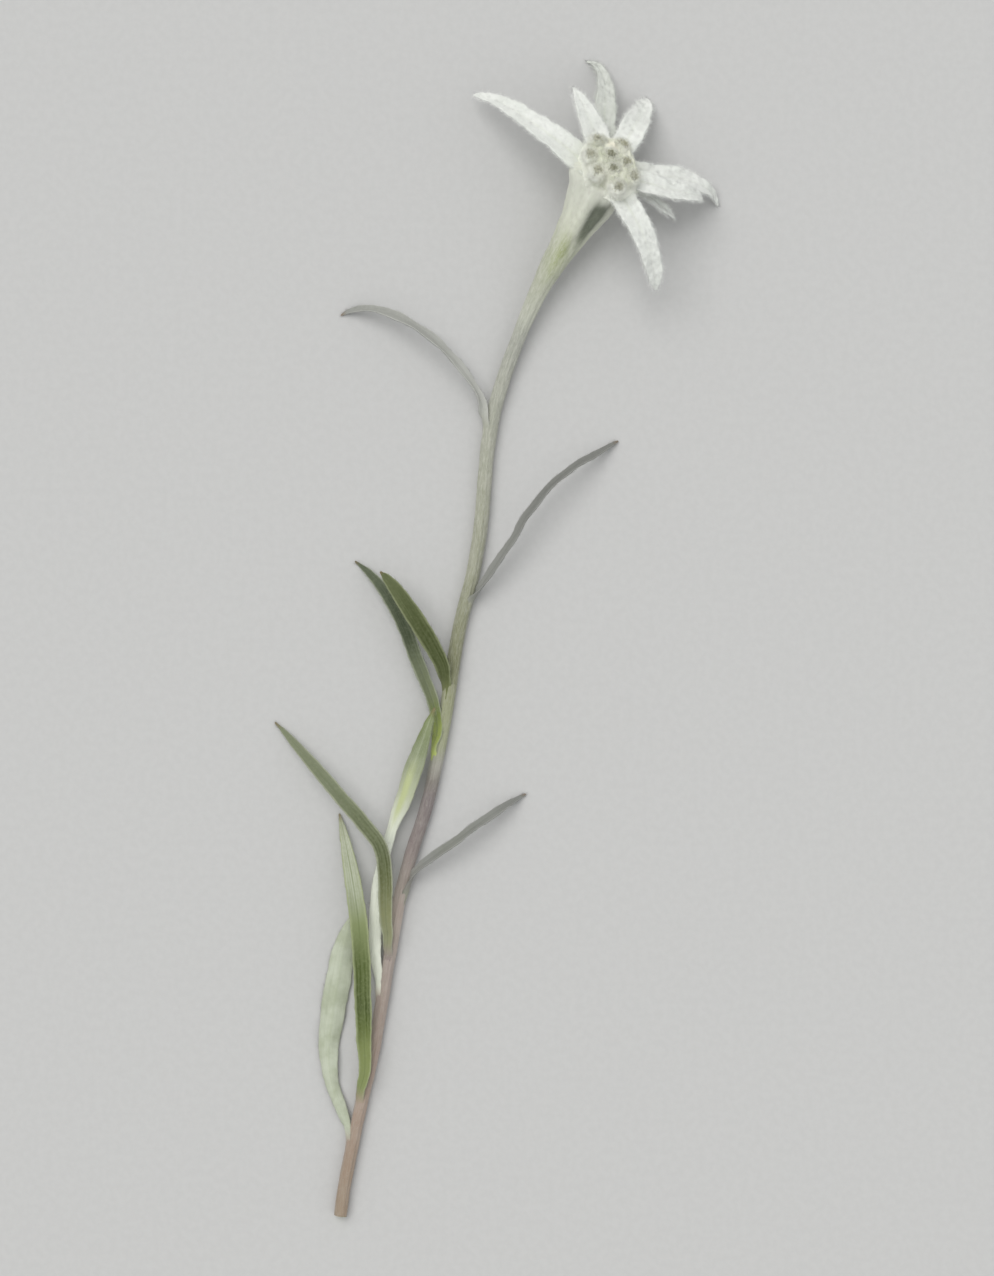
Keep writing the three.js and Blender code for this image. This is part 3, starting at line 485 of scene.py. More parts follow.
def add_strands(mesh, root, lead, lay, length, radius, rng, material=0, bend=0.8, curl=0.10, uv=None, along=0.0, across=0.0,
                face=1.0, segments=3, taper=0.72, floor=0.03, sides=3, up=None, flat=0.5, base=0.0, shade=None):
    """Thin closed tapering hairs. They leave along lead, bend towards lay and waver a little.
    With up they are flattened against the surface that has that normal, and shaded much like it (or like shade)."""
    n = len(root)
    if n == 0:
        return
    length = np.broadcast_to(length, (n,))[:, None]
    radius = np.broadcast_to(radius, (n,))[:, None]
    lead, lay = unit(lead), unit(lay)
    wave = unit(np.cross(lead, lay) + 0.3 * rng.normal(size=(n, 3)))
    wave2 = unit(np.cross(lead, wave))
    ph, ph2 = rng.uniform(0, 2 * math.pi, (2, n, 1))
    amp, amp2 = (curl * rng.uniform(0.3, 1.4, (2, n, 1)))
    ts = np.linspace(0, 1, segments + 1)

    def at(t):
        p = root + length * (lead * (t - 0.5 * bend * t * t) + lay * (0.5 * bend * t * t + 0.25 * bend * t))
        p = p + length * (wave * amp * (np.sin(ph + 5.2 * t) - np.sin(ph)) + wave2 * amp2 * 0.6 * (np.sin(ph2 + 6.4 * t) - np.sin(ph2)))
        p[:, 2] = np.maximum(p[:, 2], floor)
        return p

    pts = [at(t) for t in ts]
    rings, normals = [], []
    ref = unit(rng.normal(size=(n, 3))) if up is None else up
    squash = 1.0 if up is None else flat
    shade = up if shade is None else shade
    for i, t in enumerate(ts[:-1]):
        tan = unit(pts[min(i + 1, segments)] - pts[max(i - 1, 0)])
        s1 = unit(np.cross(tan, ref))
        s2 = np.cross(s1, tan)
        rr = radius * (1 - taper * t)
        turn = [math.pi / 2 - 2 * math.pi * k / sides for k in range(sides)]
        rings.append(np.stack([pts[i] + rr * (s1 * math.cos(a) + s2 * squash * math.sin(a)) for a in turn], 1))
        if up is not None:
            normals.append(np.stack([unit(shade + 0.30 * (s1 * math.cos(a) + s2 * math.sin(a))) for a in turn], 1))
    ring = np.stack(rings, 1)  # n, segments, sides, 3
    co = np.concatenate([ring.reshape(n, -1, 3), pts[-1][:, None]], 1)
    normal = None if up is None else np.concatenate([np.stack(normals, 1).reshape(n, -1, 3), shade[:, None]], 1)
    m = segments * sides + 1
    first = np.arange(n)[:, None, None] * m
    q, t3 = [], []
    for s in range(segments - 1):
        for k in range(sides):
            a, b = s * sides + k, s * sides + (k + 1) % sides
            q.append([a, b, b + sides, a + sides])
    for k in range(sides):
        a, b = (segments - 1) * sides + k, (segments - 1) * sides + (k + 1) % sides
        t3.append([a, b, m - 1])
    for k in range(1, sides - 1):
        t3.append([0, k + 1, k])
    quads = (first + np.array(q)[None]).reshape(-1, 4) if q else None
    tris = (first + np.array(t3)[None]).reshape(-1, 3)
    hair = np.concatenate([np.repeat(ts[:-1], sides), [1.0]])
    hair = np.broadcast_to(0.02 + 0.98 * hair, (n, m))
    seed = np.broadcast_to(rng.uniform(0.01, 1, (n, 1)), (n, m))
    wide = lambda v: np.broadcast_to(np.broadcast_to(v, (n,))[:, None], (n, m))
    if uv is None:
        uv = rng.uniform(0, 1, (n, 2))
    spot = np.stack([0.515 + 0.47 * np.clip(uv[:, 0], 0, 1), 0.01 + 0.97 * np.clip(uv[:, 1], 0, 1)], 1)
    patch = np.array([[0.0012 * k, 0.0016 * s] for s in range(segments) for k in range(sides)] + [[0.0012, 0.0016 * segments]])
    mesh.add(co, quads, tris, material, spot[:, None, :] + patch[None], normal, hair=hair, seed=seed, along=wide(along), across=wide(across),
             face=wide(face), root=wide(base))


# ---------------------------------------------------------------- materials
class Nodes:
    """A short way to write a material's node tree."""

    def __init__(self, name):
        self.m = bpy.data.materials.new(name)
        self.m.use_nodes = True
        self.t = self.m.node_tree
        self.p = next(n for n in self.t.nodes if n.type == "BSDF_PRINCIPLED")
        self.coord = self.t.nodes.new("ShaderNodeTexCoord").outputs["Object"]

    def set(self, **values):
        for k, v in values.items():
            self.p.inputs[k.replace("_", " ")].default_value = v

    def link(self, a, b):
        self.t.links.new(a, b)

    def attr(self, name):
        n = self.t.nodes.new("ShaderNodeAttribute")
        n.attribute_name = name
        return n.outputs["Fac"]

    def math(self, op, a, b=None, c=None, clamp=False):
        n = self.t.nodes.new("ShaderNodeMath")
        n.operation = op
        n.use_clamp = clamp
        for i, v in enumerate((a, b, c)):
            if v is None:
                continue
            if isinstance(v, (int, float)):
                n.inputs[i].default_value = v
            else:
                self.link(v, n.inputs[i])
        return n.outputs[0]

    def noise(self, scale, detail=3.0, rough=0.55, stretch=None, offset=(0, 0, 0), vector=None, distortion=0.0):
        n = self.t.nodes.new("ShaderNodeTexNoise")
        n.inputs["Scale"].default_value = scale
        n.inputs["Detail"].default_value = detail
        n.inputs["Roughness"].default_value = rough
        n.inputs["Distortion"].default_value = distortion
        m = self.t.nodes.new("ShaderNodeMapping")
        self.link(vector or self.coord, m.inputs["Vector"])
        m.inputs["Location"].default_value = offset
        if stretch:
            m.inputs["Scale"].default_value = stretch
        self.link(m.outputs[0], n.inputs["Vector"])
        return n.outputs["Fac"]

    def vector(self, x, y, z):
        n = self.t.nodes.new("ShaderNodeCombineXYZ")
        for i, v in enumerate((x, y, z)):
            if isinstance(v, (int, float)):
                n.inputs[i].default_value = v
            else:
                self.link(v, n.inputs[i])
        return n.outputs[0]

    def ramp(self, value, stops, smooth_stops=False):
        n = self.t.nodes.new("ShaderNodeValToRGB")
        n.color_ramp.interpolation = "EASE" if smooth_stops else "LINEAR"
        e = n.color_ramp.elements
        while len(e) < len(stops):
            e.new(0.5)
        for el, (pos, col) in zip(e, stops):
            el.position = pos
            el.color = (*col, 1) if len(col) == 3 else col
        self.link(value, n.inputs[0])
        return n.outputs[0]

    def remap(self, value, lo, hi, a=0.0, b=1.0):
        n = self.t.nodes.new("ShaderNodeMapRange")
        n.interpolation_type = "SMOOTHSTEP"
        n.inputs["From Min"].default_value = lo
        n.inputs["From Max"].default_value = hi
        n.inputs["To Min"].default_value = a
        n.inputs["To Max"].default_value = b
        self.link(value, n.inputs["Value"])
        return n.outputs[0]

    def mix(self, fac, a, b, kind="MIX"):
        n = self.t.nodes.new("ShaderNodeMix")
        n.data_type = "RGBA"
        n.blend_type = kind
        for socket, v in ((n.inputs["Factor"], fac), (n.inputs[6], a), (n.inputs[7], b)):
            if isinstance(v, (int, float)):
                socket.default_value = v
            elif isinstance(v, tuple):
                socket.default_value = (*v, 1) if len(v) == 3 else v
            else:
                self.link(v, socket)
        return n.outputs[2]

    def bump(self, height, strength, distance, under=None):
        n = self.t.nodes.new("ShaderNodeBump")
        n.inputs["Strength"].default_value = strength
        n.inputs["Distance"].default_value = distance
        self.link(height, n.inputs["Height"])
        if under is not None:
            self.link(under, n.inputs["Normal"])
        return n.outputs[0]


def srgb(r, g, b):
    return tuple((c / 255 / 12.92) if c / 255 <= 0.04045 else ((c / 255 + 0.055) / 1.055) ** 2.4 for c in (r, g, b))


def felt_material(name, pale, shade, base_tint, hair_col, rim=None, cream_highlight=None):
    """White plant wool over green: pale felt, a little greener where the wool is thin. With rim, whiter where root is
    1, and with a highlight colour, creamier where face falls from 1 to 0: a painted highlight on cream wool."""
    k = Nodes(name)
    along, across, face, hair, seed = (k.attr(a) for a in ("along", "across", "face", "hair", "seed"))
    soft = k.noise(260, 3, 0.55)
    fine = k.noise(2600, 3, 0.6, offset=(3, 1, 2))
    streak = k.noise(1.0, 3, 0.6, vector=k.vector(k.math("MULTIPLY", along, 3.0), k.math("MULTIPLY", across, 5.0), k.math("MULTIPLY", face, 2.0)))
    low_shade = tuple(c * 0.86 for c in shade)
    col = k.mix(k.remap(soft, 0.35, 0.68), shade, pale)
    col = k.mix(k.remap(streak, 0.42, 0.70, 0.0, 0.22), col, low_shade)
    col = k.mix(k.remap(fine, 0.45, 0.75, 0.0, 0.12), col, low_shade)
    # the wool thins along the middle and near the base, where green shows through
    mid = k.math("ABSOLUTE", across)
    vein = k.remap(mid, 0.02, 0.20, 1.0, 0.0)
    vein = k.math("MULTIPLY", vein, k.remap(along, 0.15, 0.75, 0.34, 0.06))
    col = k.mix(vein, col, base_tint)
    low = k.remap(along, 0.05, 0.34, 0.45, 0.0)
    low = k.math("MULTIPLY", low, k.remap(soft, 0.25, 0.75, 0.45, 1.0))
    col = k.mix(low, col, base_tint)
    strand = k.mix(k.math("MULTIPLY", seed, 0.55), hair_col, pale)
    strand = k.mix(k.math("MULTIPLY", low, 0.5), strand, base_tint)
    if rim is not None:
        at_rim = k.attr("root")
        col = k.mix(at_rim, col, rim)
        strand = k.mix(at_rim, strand, rim)
    # painted highlight: cream wool where the wool between the heads catches the light
    if cream_highlight is not None:
        cream_highlight_mask = k.remap(face, 0.0, 1.0, 1.0, 0.0)
        col = k.mix(cream_highlight_mask, col, cream_highlight)
        strand = k.mix(cream_highlight_mask, strand, cream_highlight)
    col = k.mix(k.remap(hair, 0.0, 0.35, 0.0, 0.85), col, strand)
    k.link(col, k.p.inputs["Base Color"])
    tiny = k.noise(5200, 2, 0.6, offset=(1, 4, 2), distortion=0.6)
    threads = k.noise(1700, 3, 0.7, distortion=1.6)
    h = k.math("ADD", k.math("MULTIPLY", tiny, 0.5), threads)
    k.link(k.bump(h, 0.28, 0.00010), k.p.inputs["Normal"])
    k.link(k.remap(fine, 0.3, 0.7, 0.88, 0.98), k.p.inputs["Roughness"])
    k.set(Specular_IOR_Level=0.12, Sheen_Weight=0.30, Sheen_Roughness=0.6)
    return k.m


def blend(a, b, share):
    return tuple((1 - share) * x + share * y for x, y in zip(a, b))


def leaf_material(name, green, deep, edge, under, under_deep, root, tip_brown=0.7, run=None, run_top=None, centre=None, rim_wide=0.66, foot=None):
    """Grey-green above with a pale hairy margin, white felt below; the base takes the stem's colour."""
    k = Nodes(name)
    along, across, face, hair, seed = (k.attr(a) for a in ("along", "across", "face", "hair", "seed"))
    side = k.math("ABSOLUTE", across)
    cloud = k.noise(230, 4, 0.6)
    fine = k.noise(1700, 3, 0.65, offset=(2, 5, 1))
    # lines that run along the blade
    lines = k.noise(1.0, 4, 0.6, vector=k.vector(k.math("MULTIPLY", along, 2.6), k.math("MULTIPLY", across, 4.5), k.math("MULTIPLY", face, 3.0)))
    top = k.mix(k.remap(cloud, 0.3, 0.7), deep, green)
    if run_top is not None:
        top = k.mix(0.85, top, k.ramp(along, run_top))
    top = k.mix(k.remap(lines, 0.36, 0.68, 0.0, 0.50), top, blend(green, edge, 0.30))
    top = k.mix(k.remap(fine, 0.42, 0.75, 0.0, 0.30), top, blend(green, edge, 0.50))
    rib = k.remap(side, 0.02, 0.12, 0.45, 0.0)
    top = k.mix(rib, top, blend(deep, edge, 0.12))
    rim = k.math("MULTIPLY", k.remap(side, rim_wide, 0.98, 0.0, 0.9), k.remap(fine, 0.2, 0.7, 0.7, 1.0))
    top = k.mix(rim, top, edge)
    if run is None:
        below = k.mix(k.remap(cloud, 0.32, 0.7), under_deep, under)
    else:
        tint = k.ramp(along, run)
        below = k.mix(k.remap(cloud, 0.32, 0.7, 0.20, 0.0), tint, under_deep)
    below = k.mix(k.remap(lines, 0.40, 0.70, 0.0, 0.30), below, tuple(0.84 * c for c in under_deep))
    below = k.mix(k.remap(side, 0.02, 0.12, 0.22, 0.0), below, blend(under_deep, green, 0.35))
    if centre is not None:
        strip = k.math("MULTIPLY", k.remap(side, 0.12, 0.62, 0.85, 0.0), k.remap(along, centre[0], centre[1]))
        strip = k.math("MULTIPLY", strip, k.remap(along, 0.74, 0.85, 1.0, 0.0))
        below = k.mix(strip, below, centre[2])
    col = k.mix(k.remap(face, -0.35, 0.35), below, top)
    tip = k.math("MULTIPLY", k.remap(along, 0.965, 1.0, 0.0, tip_brown), k.remap(cloud, 0.3, 0.6, 0.3, 1.0))
    col = k.mix(tip, col, srgb(120, 98, 72))
    near = k.attr("root")
    col = k.mix(near, col, root if foot is None else k.mix(k.remap(along, 0.02, 0.085), foot, root))
    strand = k.mix(k.remap(face, -0.35, 0.35), k.mix(0.5, under, below), blend(edge, green, 0.35))
    strand = k.mix(k.remap(side, 0.6, 0.95), strand, edge)
    strand = k.mix(k.math("MULTIPLY", seed, 0.6), strand, col)
    col = k.mix(k.remap(hair, 0.0, 0.3, 0.0, 0.9), col, strand)
    k.link(col, k.p.inputs["Base Color"])
    micro = k.noise(4200, 2, 0.6, distortion=0.8)
    h = k.math("ADD", k.math("MULTIPLY", micro, 0.5), k.math("MULTIPLY", lines, 1.0))
    k.link(k.bump(h, 0.40, 0.00012), k.p.inputs["Normal"])
    rough = k.math("ADD", k.remap(face, -0.35, 0.35, 0.90, 0.62), k.math("MULTIPLY", fine, 0.12))
    k.link(rough, k.p.inputs["Roughness"])
    k.set(Specular_IOR_Level=0.28, Sheen_Weight=0.18, Sheen_Roughness=0.5)
    return k.m


def stem_material(name):
    """Green stem under down: pale below the star, grey in the middle, mauve to pink-brown low down."""
    k = Nodes(name)
    along, across, face, hair, seed = (k.attr(a) for a in ("along", "across", "face", "hair", "seed"))
    skin = k.ramp(along, [
        (0.00, srgb(142, 122, 102)), (0.13, srgb(158, 138, 126)), (0.235, srgb(156, 143, 136)), (0.27, srgb(172, 158, 148)), (0.30, srgb(168, 154, 146)), (0.35, srgb(124, 112, 111)),
        (0.395, srgb(120, 110, 111)), (0.412, srgb(124, 118, 112)), (0.428, srgb(154, 152, 142)), (0.445, srgb(150, 154, 124)), (0.47, srgb(146, 150, 117)), (0.52, srgb(114, 116, 82)), (0.60, srgb(138, 140, 118)), (0.70, srgb(152, 154, 138)), (0.79, srgb(154, 156, 145)), (0.825, srgb(150, 152, 143)),
        (0.85, srgb(174, 177, 163)), (0.88, srgb(164, 168, 148)), (0.915, srgb(170, 175, 150)), (0.95, srgb(203, 207, 188)), (1.00, srgb(222, 225, 212)),
    ])
    # fine lines along the stem
    lines = k.noise(1.0, 4, 0.62, vector=k.vector(k.math("MULTIPLY", along, 30.0), k.math("MULTIPLY", across, 4.2), 3.1))
    patch = k.noise(160, 3, 0.55)
    col = k.mix(k.remap(lines, 0.35, 0.66, 0.0, 0.30), skin, k.mix(0.40, skin, srgb(98, 100, 72)))
    col = k.mix(k.remap(patch, 0.42, 0.70, 0.0, 0.22), col, k.mix(0.45, skin, srgb(206, 204, 194)))
    # the bare yellow-green patch, and the hollow of the neck, coloured as grey-green skin with thin wool and painted
    # shade
    col = k.mix(k.remap(face, 0.05, 0.85, 0.0, 0.80), col, srgb(148, 157, 108))
    hollow_shade = k.remap(k.math("MULTIPLY", face, -1.0), 0.0, 0.95, 0.0, 0.92)
    col = k.mix(hollow_shade, col, srgb(82, 89, 73))
    down = k.noise(1.0, 4, 0.66, vector=k.vector(k.math("MULTIPLY", along, 150.0), k.math("MULTIPLY", across, 7.0), 8.3), distortion=0.5)
    amount = k.remap(along, 0.25, 0.97, 0.15, 0.55)
    amount = k.math("MULTIPLY", amount, k.math("SUBTRACT", 1.0, k.math("MULTIPLY", hollow_shade, 0.9)))
    col = k.mix(k.math("MULTIPLY", k.remap(down, 0.30, 0.74), amount), col, srgb(206, 206, 196))
    strand = k.mix(k.math("MULTIPLY", k.math("ADD", seed, 0.15), 0.85), srgb(208, 207, 198), skin)
    # hairs in the hollow darken as well, partly painted shade
    strand = k.mix(k.math("MULTIPLY", hollow_shade, 0.80), strand, srgb(108, 114, 98))
    col = k.mix(k.remap(hair, 0.0, 0.3, 0.0, 0.85), col, strand)
    k.link(col, k.p.inputs["Base Color"])
    micro = k.noise(3600, 3, 0.65, distortion=0.8)
    h = k.math("ADD", k.math("MULTIPLY", micro, 0.6), k.math("MULTIPLY", lines, 0.6))
    k.link(k.bump(h, 0.30, 0.00012), k.p.inputs["Normal"])
    k.link(k.remap(down, 0.3, 0.7, 0.78, 0.95), k.p.inputs["Roughness"])
    k.set(Specular_IOR_Level=0.22, Sheen_Weight=0.25, Sheen_Roughness=0.55)
    return k.m


def cut_material(name):
    """The cut end: green rind, pale woody ring, soft pith."""
    k = Nodes(name)
    across = k.attr("across")
    col = k.ramp(across, [
        (0.00, srgb(214, 214, 178)), (0.42, srgb(206, 208, 168)), (0.55, srgb(226, 226, 190)), (0.74, srgb(170, 182, 110)),
        (0.88, srgb(120, 138, 70)), (1.00, srgb(120, 110, 80)),
    ])
    grain = k.noise(3200, 3, 0.7)
    col = k.mix(k.remap(grain, 0.4, 0.7, 0.0, 0.4), col, srgb(150, 146, 96))
    k.link(col, k.p.inputs["Base Color"])
    k.link(k.bump(grain, 0.6, 0.0001), k.p.inputs["Normal"])
    k.link(k.remap(grain, 0.3, 0.7, 0.45, 0.7), k.p.inputs["Roughness"])
    k.set(Specular_IOR_Level=0.4)
    return k.m


def scale_material(name, mid, dry, end):
    """The small scales of a flower head: pale and woolly, with dry tips."""
    k = Nodes(name)
    along, seed = k.attr("along"), k.attr("seed")
    v = k.math("ADD", along, k.math("MULTIPLY", k.math("SUBTRACT", seed, 0.5), 0.25))
    col = k.ramp(v, [(0.0, srgb(222, 222, 206)), (0.66, srgb(206, 207, 186)), (0.80, mid), (0.92, dry), (1.0, end)])
    grain = k.noise(2600, 3, 0.6)
    col = k.mix(k.remap(grain, 0.4, 0.7, 0.0, 0.4), col, srgb(190, 185, 156))
    k.link(col, k.p.inputs["Base Color"])
    k.link(k.bump(grain, 0.4, 0.00008), k.p.inputs["Normal"])
    k.link(k.remap(grain, 0.3, 0.7, 0.6, 0.8), k.p.inputs["Roughness"])
    k.set(Specular_IOR_Level=0.3)
    return k.m


def floret_material(name, low, high, tip):
    k = Nodes(name)
    along, seed = k.attr("along"), k.attr("seed")
    col = k.ramp(along, [(0.0, low), (0.6, high), (0.9, tip), (1.0, tip)])
    grain = k.noise(2400, 3, 0.6)
    col = k.mix(k.remap(grain, 0.35, 0.7, 0.0, 0.35), col, tuple(c * 0.8 for c in high))
    col = k.mix(k.math("MULTIPLY", seed, 0.3), col, tuple(c * 0.72 for c in tip))
    k.link(col, k.p.inputs["Base Color"])
    k.link(k.bump(grain, 0.3, 0.00006), k.p.inputs["Normal"])
    k.link(k.remap(grain, 0.3, 0.7, 0.55, 0.75), k.p.inputs["Roughness"])
    k.set(Specular_IOR_Level=0.35)
    return k.m


BRACT = felt_material("bract_wool", srgb(230, 232, 227), srgb(221, 224, 218), srgb(204, 209, 190), srgb(246, 247, 244))
# a darker copy of the bract felt: painted shade for a bract that hangs away from the light
BRACT_PAINTED_SHADE = felt_material("bract_wool_painted_shade", srgb(207, 210, 203), srgb(198, 202, 193), srgb(183, 189, 170), srgb(222, 224, 218))
CUP = felt_material("head_wool", srgb(230, 231, 215), srgb(192, 196, 173), srgb(196, 200, 178), srgb(246, 247, 236), rim=srgb(238, 240, 229), cream_highlight=srgb(236, 232, 214))
CUP_GREY = felt_material("head_wool_grey", srgb(210, 212, 196), srgb(186, 190, 170), srgb(190, 194, 172), srgb(224, 226, 212), rim=srgb(236, 238, 228), cream_highlight=srgb(234, 230, 212))
ROOT_HIGH, ROOT_MID, ROOT_GREEN, ROOT_MAUVE, ROOT_LOW = srgb(160, 162, 146), srgb(148, 150, 134), srgb(132, 132, 106), srgb(142, 130, 126), srgb(162, 144, 132)
OLIVE = leaf_material("leaf_olive", srgb(84, 93, 54), srgb(66, 75, 36), srgb(136, 142, 108), srgb(168, 174, 150), srgb(142, 150, 122), srgb(108, 114, 74),
                      run_top=[(0.0, srgb(86, 94, 50)), (0.35, srgb(54, 64, 12)), (0.60, srgb(66, 75, 34)), (1.0, srgb(82, 90, 56))])
DUSK = leaf_material("leaf_dusk", srgb(92, 101, 74), srgb(66, 76, 54), srgb(152, 157, 138), srgb(172, 178, 158), srgb(148, 156, 132), srgb(184, 197, 112),
                     run_top=[(0.0, srgb(184, 197, 112)), (0.12, srgb(176, 190, 98)), (0.20, srgb(150, 164, 78)), (0.26, srgb(112, 126, 56)), (0.33, srgb(112, 119, 84)), (0.45, srgb(104, 111, 84)), (0.60, srgb(56, 66, 43)),
                              (0.80, srgb(54, 64, 43)), (1.0, srgb(72, 80, 60))],
                     foot=srgb(152, 157, 128))
SAGE = leaf_material("leaf_sage", srgb(112, 119, 86), srgb(92, 102, 64), srgb(160, 164, 142), srgb(194, 200, 182), srgb(172, 180, 158), ROOT_MAUVE,
                     run_top=[(0.0, srgb(158, 158, 130)), (0.08, srgb(152, 153, 122)), (0.22, srgb(126, 128, 86)), (0.34, srgb(80, 86, 40)), (0.42, srgb(66, 74, 38)), (0.50, srgb(90, 98, 68)), (0.58, srgb(94, 102, 74)), (0.70, srgb(108, 115, 92)), (1.0, srgb(114, 120, 98))])
FRESH = leaf_material("leaf_fresh", srgb(104, 116, 66), srgb(82, 96, 46), srgb(154, 162, 124), srgb(184, 190, 168), srgb(162, 170, 144), ROOT_LOW,
                      run_top=[(0.0, srgb(132, 142, 92)), (0.11, srgb(132, 142, 90)), (0.24, srgb(124, 134, 78)), (0.31, srgb(74, 88, 24)), (0.37, srgb(48, 62, 6)), (0.50, srgb(68, 82, 28)), (0.64, srgb(130, 140, 98)),
                               (0.74, srgb(182, 187, 168)), (0.90, srgb(196, 199, 184)), (1.0, srgb(166, 168, 148))])
PALE = leaf_material("leaf_pale", srgb(166, 174, 134), srgb(136, 144, 108), srgb(196, 200, 180), srgb(222, 225, 212), srgb(198, 204, 186), ROOT_LOW,
                     run=[(0.0, srgb(200, 200, 184)), (0.10, srgb(224, 227, 212)), (0.52, srgb(224, 227, 216)), (0.64, srgb(212, 216, 198)), (0.72, srgb(172, 178, 146)),
                          (0.79, srgb(137, 144, 113)), (0.87, srgb(118, 128, 90)), (1.0, srgb(112, 124, 70))],
                     centre=(0.58, 0.68, srgb(182, 190, 140)))
WHITE = leaf_material("leaf_white", srgb(144, 152, 118), srgb(126, 136, 100), srgb(194, 198, 182), srgb(189, 195, 177), srgb(168, 175, 152), ROOT_LOW)
GREY_RUN = [(0.0, srgb(170, 172, 158)), (0.20, srgb(180, 181, 175)), (0.33, srgb(178, 179, 174)), (0.46, srgb(164, 165, 160)), (0.58, srgb(148, 149, 145)),
            (0.72, srgb(142, 143, 138)), (0.86, srgb(136, 137, 132)), (1.0, srgb(116, 117, 114))]
GREY = leaf_material("leaf_grey", srgb(167, 168, 161), srgb(150, 151, 144), srgb(180, 181, 175), srgb(178, 180, 171), srgb(158, 161, 149), ROOT_HIGH,
                     run=GREY_RUN, run_top=GREY_RUN)
DIM = leaf_material("leaf_dim", srgb(122, 123, 118), srgb(108, 109, 104), srgb(146, 147, 142), srgb(140, 141, 134), srgb(122, 124, 115), ROOT_MID,
                    run=[(0.0, srgb(142, 143, 138)), (0.35, srgb(134, 135, 130)), (0.6, srgb(114, 115, 111)), (1.0, srgb(116, 117, 113))],
                    run_top=[(0.0, srgb(142, 143, 138)), (0.35, srgb(134, 135, 130)), (0.6, srgb(112, 113, 109)), (1.0, srgb(116, 117, 113))])
ASH_RUN = [(0.0, srgb(152, 145, 138)), (0.16, srgb(146, 142, 136)), (0.34, srgb(134, 135, 132)), (0.44, srgb(128, 130, 122)), (0.75, srgb(127, 129, 124)), (1.0, srgb(118, 119, 117))]
ASH = leaf_material("leaf_ash", srgb(126, 127, 121), srgb(108, 110, 103), srgb(148, 149, 144), srgb(150, 152, 144), srgb(132, 134, 124), ROOT_MID,
                    run=ASH_RUN, run_top=ASH_RUN)
STEM_SKIN = stem_material("stem_skin")
STEM_CUT = cut_material("stem_cut")
SCALE = scale_material("head_scales", srgb(136, 136, 112), srgb(94, 95, 74), srgb(110, 109, 88))
SCALE_WARM = scale_material("head_scales_brown", srgb(152, 138, 116), srgb(112, 96, 80), srgb(128, 112, 94))
FLORET = floret_material("florets", srgb(168, 172, 142), srgb(198, 200, 172), srgb(206, 204, 178))
FLORET_PALE = floret_material("florets_pale", srgb(190, 193, 168), srgb(212, 213, 192), srgb(218, 217, 198))
FLORET_DEEP = floret_material("florets_deep", srgb(128, 132, 104), srgb(172, 175, 146), srgb(190, 190, 162))
PAPPUS = floret_material("pappus", srgb(226, 226, 214), srgb(232, 232, 222), srgb(238, 238, 230))


# ---------------------------------------------------------------- the head's frame, and where leaves join the stem
HEAD = np.array(HEAD_CENTRE, float)
AXIS = unit(np.array(HEAD_AXIS, float))
E1 = unit(np.array([1.0, 0, 0]) - AXIS[0] * AXIS)
E2 = np.cross(AXIS, E1)
STEM_TRACK = Track(STEM)
STEM_AT = STEM_TRACK(np.linspace(0, 1, 1200))
STEM_DIR = STEM_TRACK.tangent(np.linspace(0, 1, 1200))


def rooted(table):
    """The table with its base run down the stem as a low clasping ridge."""
    rows = [list(r) for r in table["rows"]]
    first, third = np.array(rows[0][:3]), np.array(rows[2][:3])
    k = np.linalg.norm(STEM_AT[:, :3] - first, axis=1).argmin()
    mid, run = STEM_AT[k, :3], STEM_DIR[k]
    out = third - mid
    out = unit(out - (out @ run) * run)
    sign = 1.0 if np.array(rows[0][6:9]) @ out > 0 else -1.0
    new = []
    for below, away, half, thick, cup in ((4.6, 0.66, 0.16, 0.30, -0.3), (2.8, 0.84, 0.52, 0.42, -0.6), (1.2, 0.90, 0.78, 0.50, -0.65)):
        j = np.linalg.norm(STEM_AT[:, :3] - (mid - below * run), axis=1).argmin()
        r = STEM_AT[j, 3]
        new.append([*(STEM_AT[j, :3] + out * away * r), half * r, thick, cup * sign, *(out * sign)])
    r = STEM_AT[k, 3]
    rows[0][:3] = list(mid + out * 1.02 * r)
    rows[0][3] = max(rows[0][3], 0.80 * r)
    rows[0][5] = -0.45 * sign
    rows[0][6:9] = list(out * sign)
    return {"rows": new + rows}


# ---------------------------------------------------------------- leaves and bracts
def fine_shares(n, tip=0.05, base=0.0):
    main = np.linspace(base, 1 - tip, int(n * 0.8), endpoint=False)
    end = 1 - tip * (1 - np.linspace(0, 1, n - len(main))) ** 1.4
    return np.concatenate([main, end])


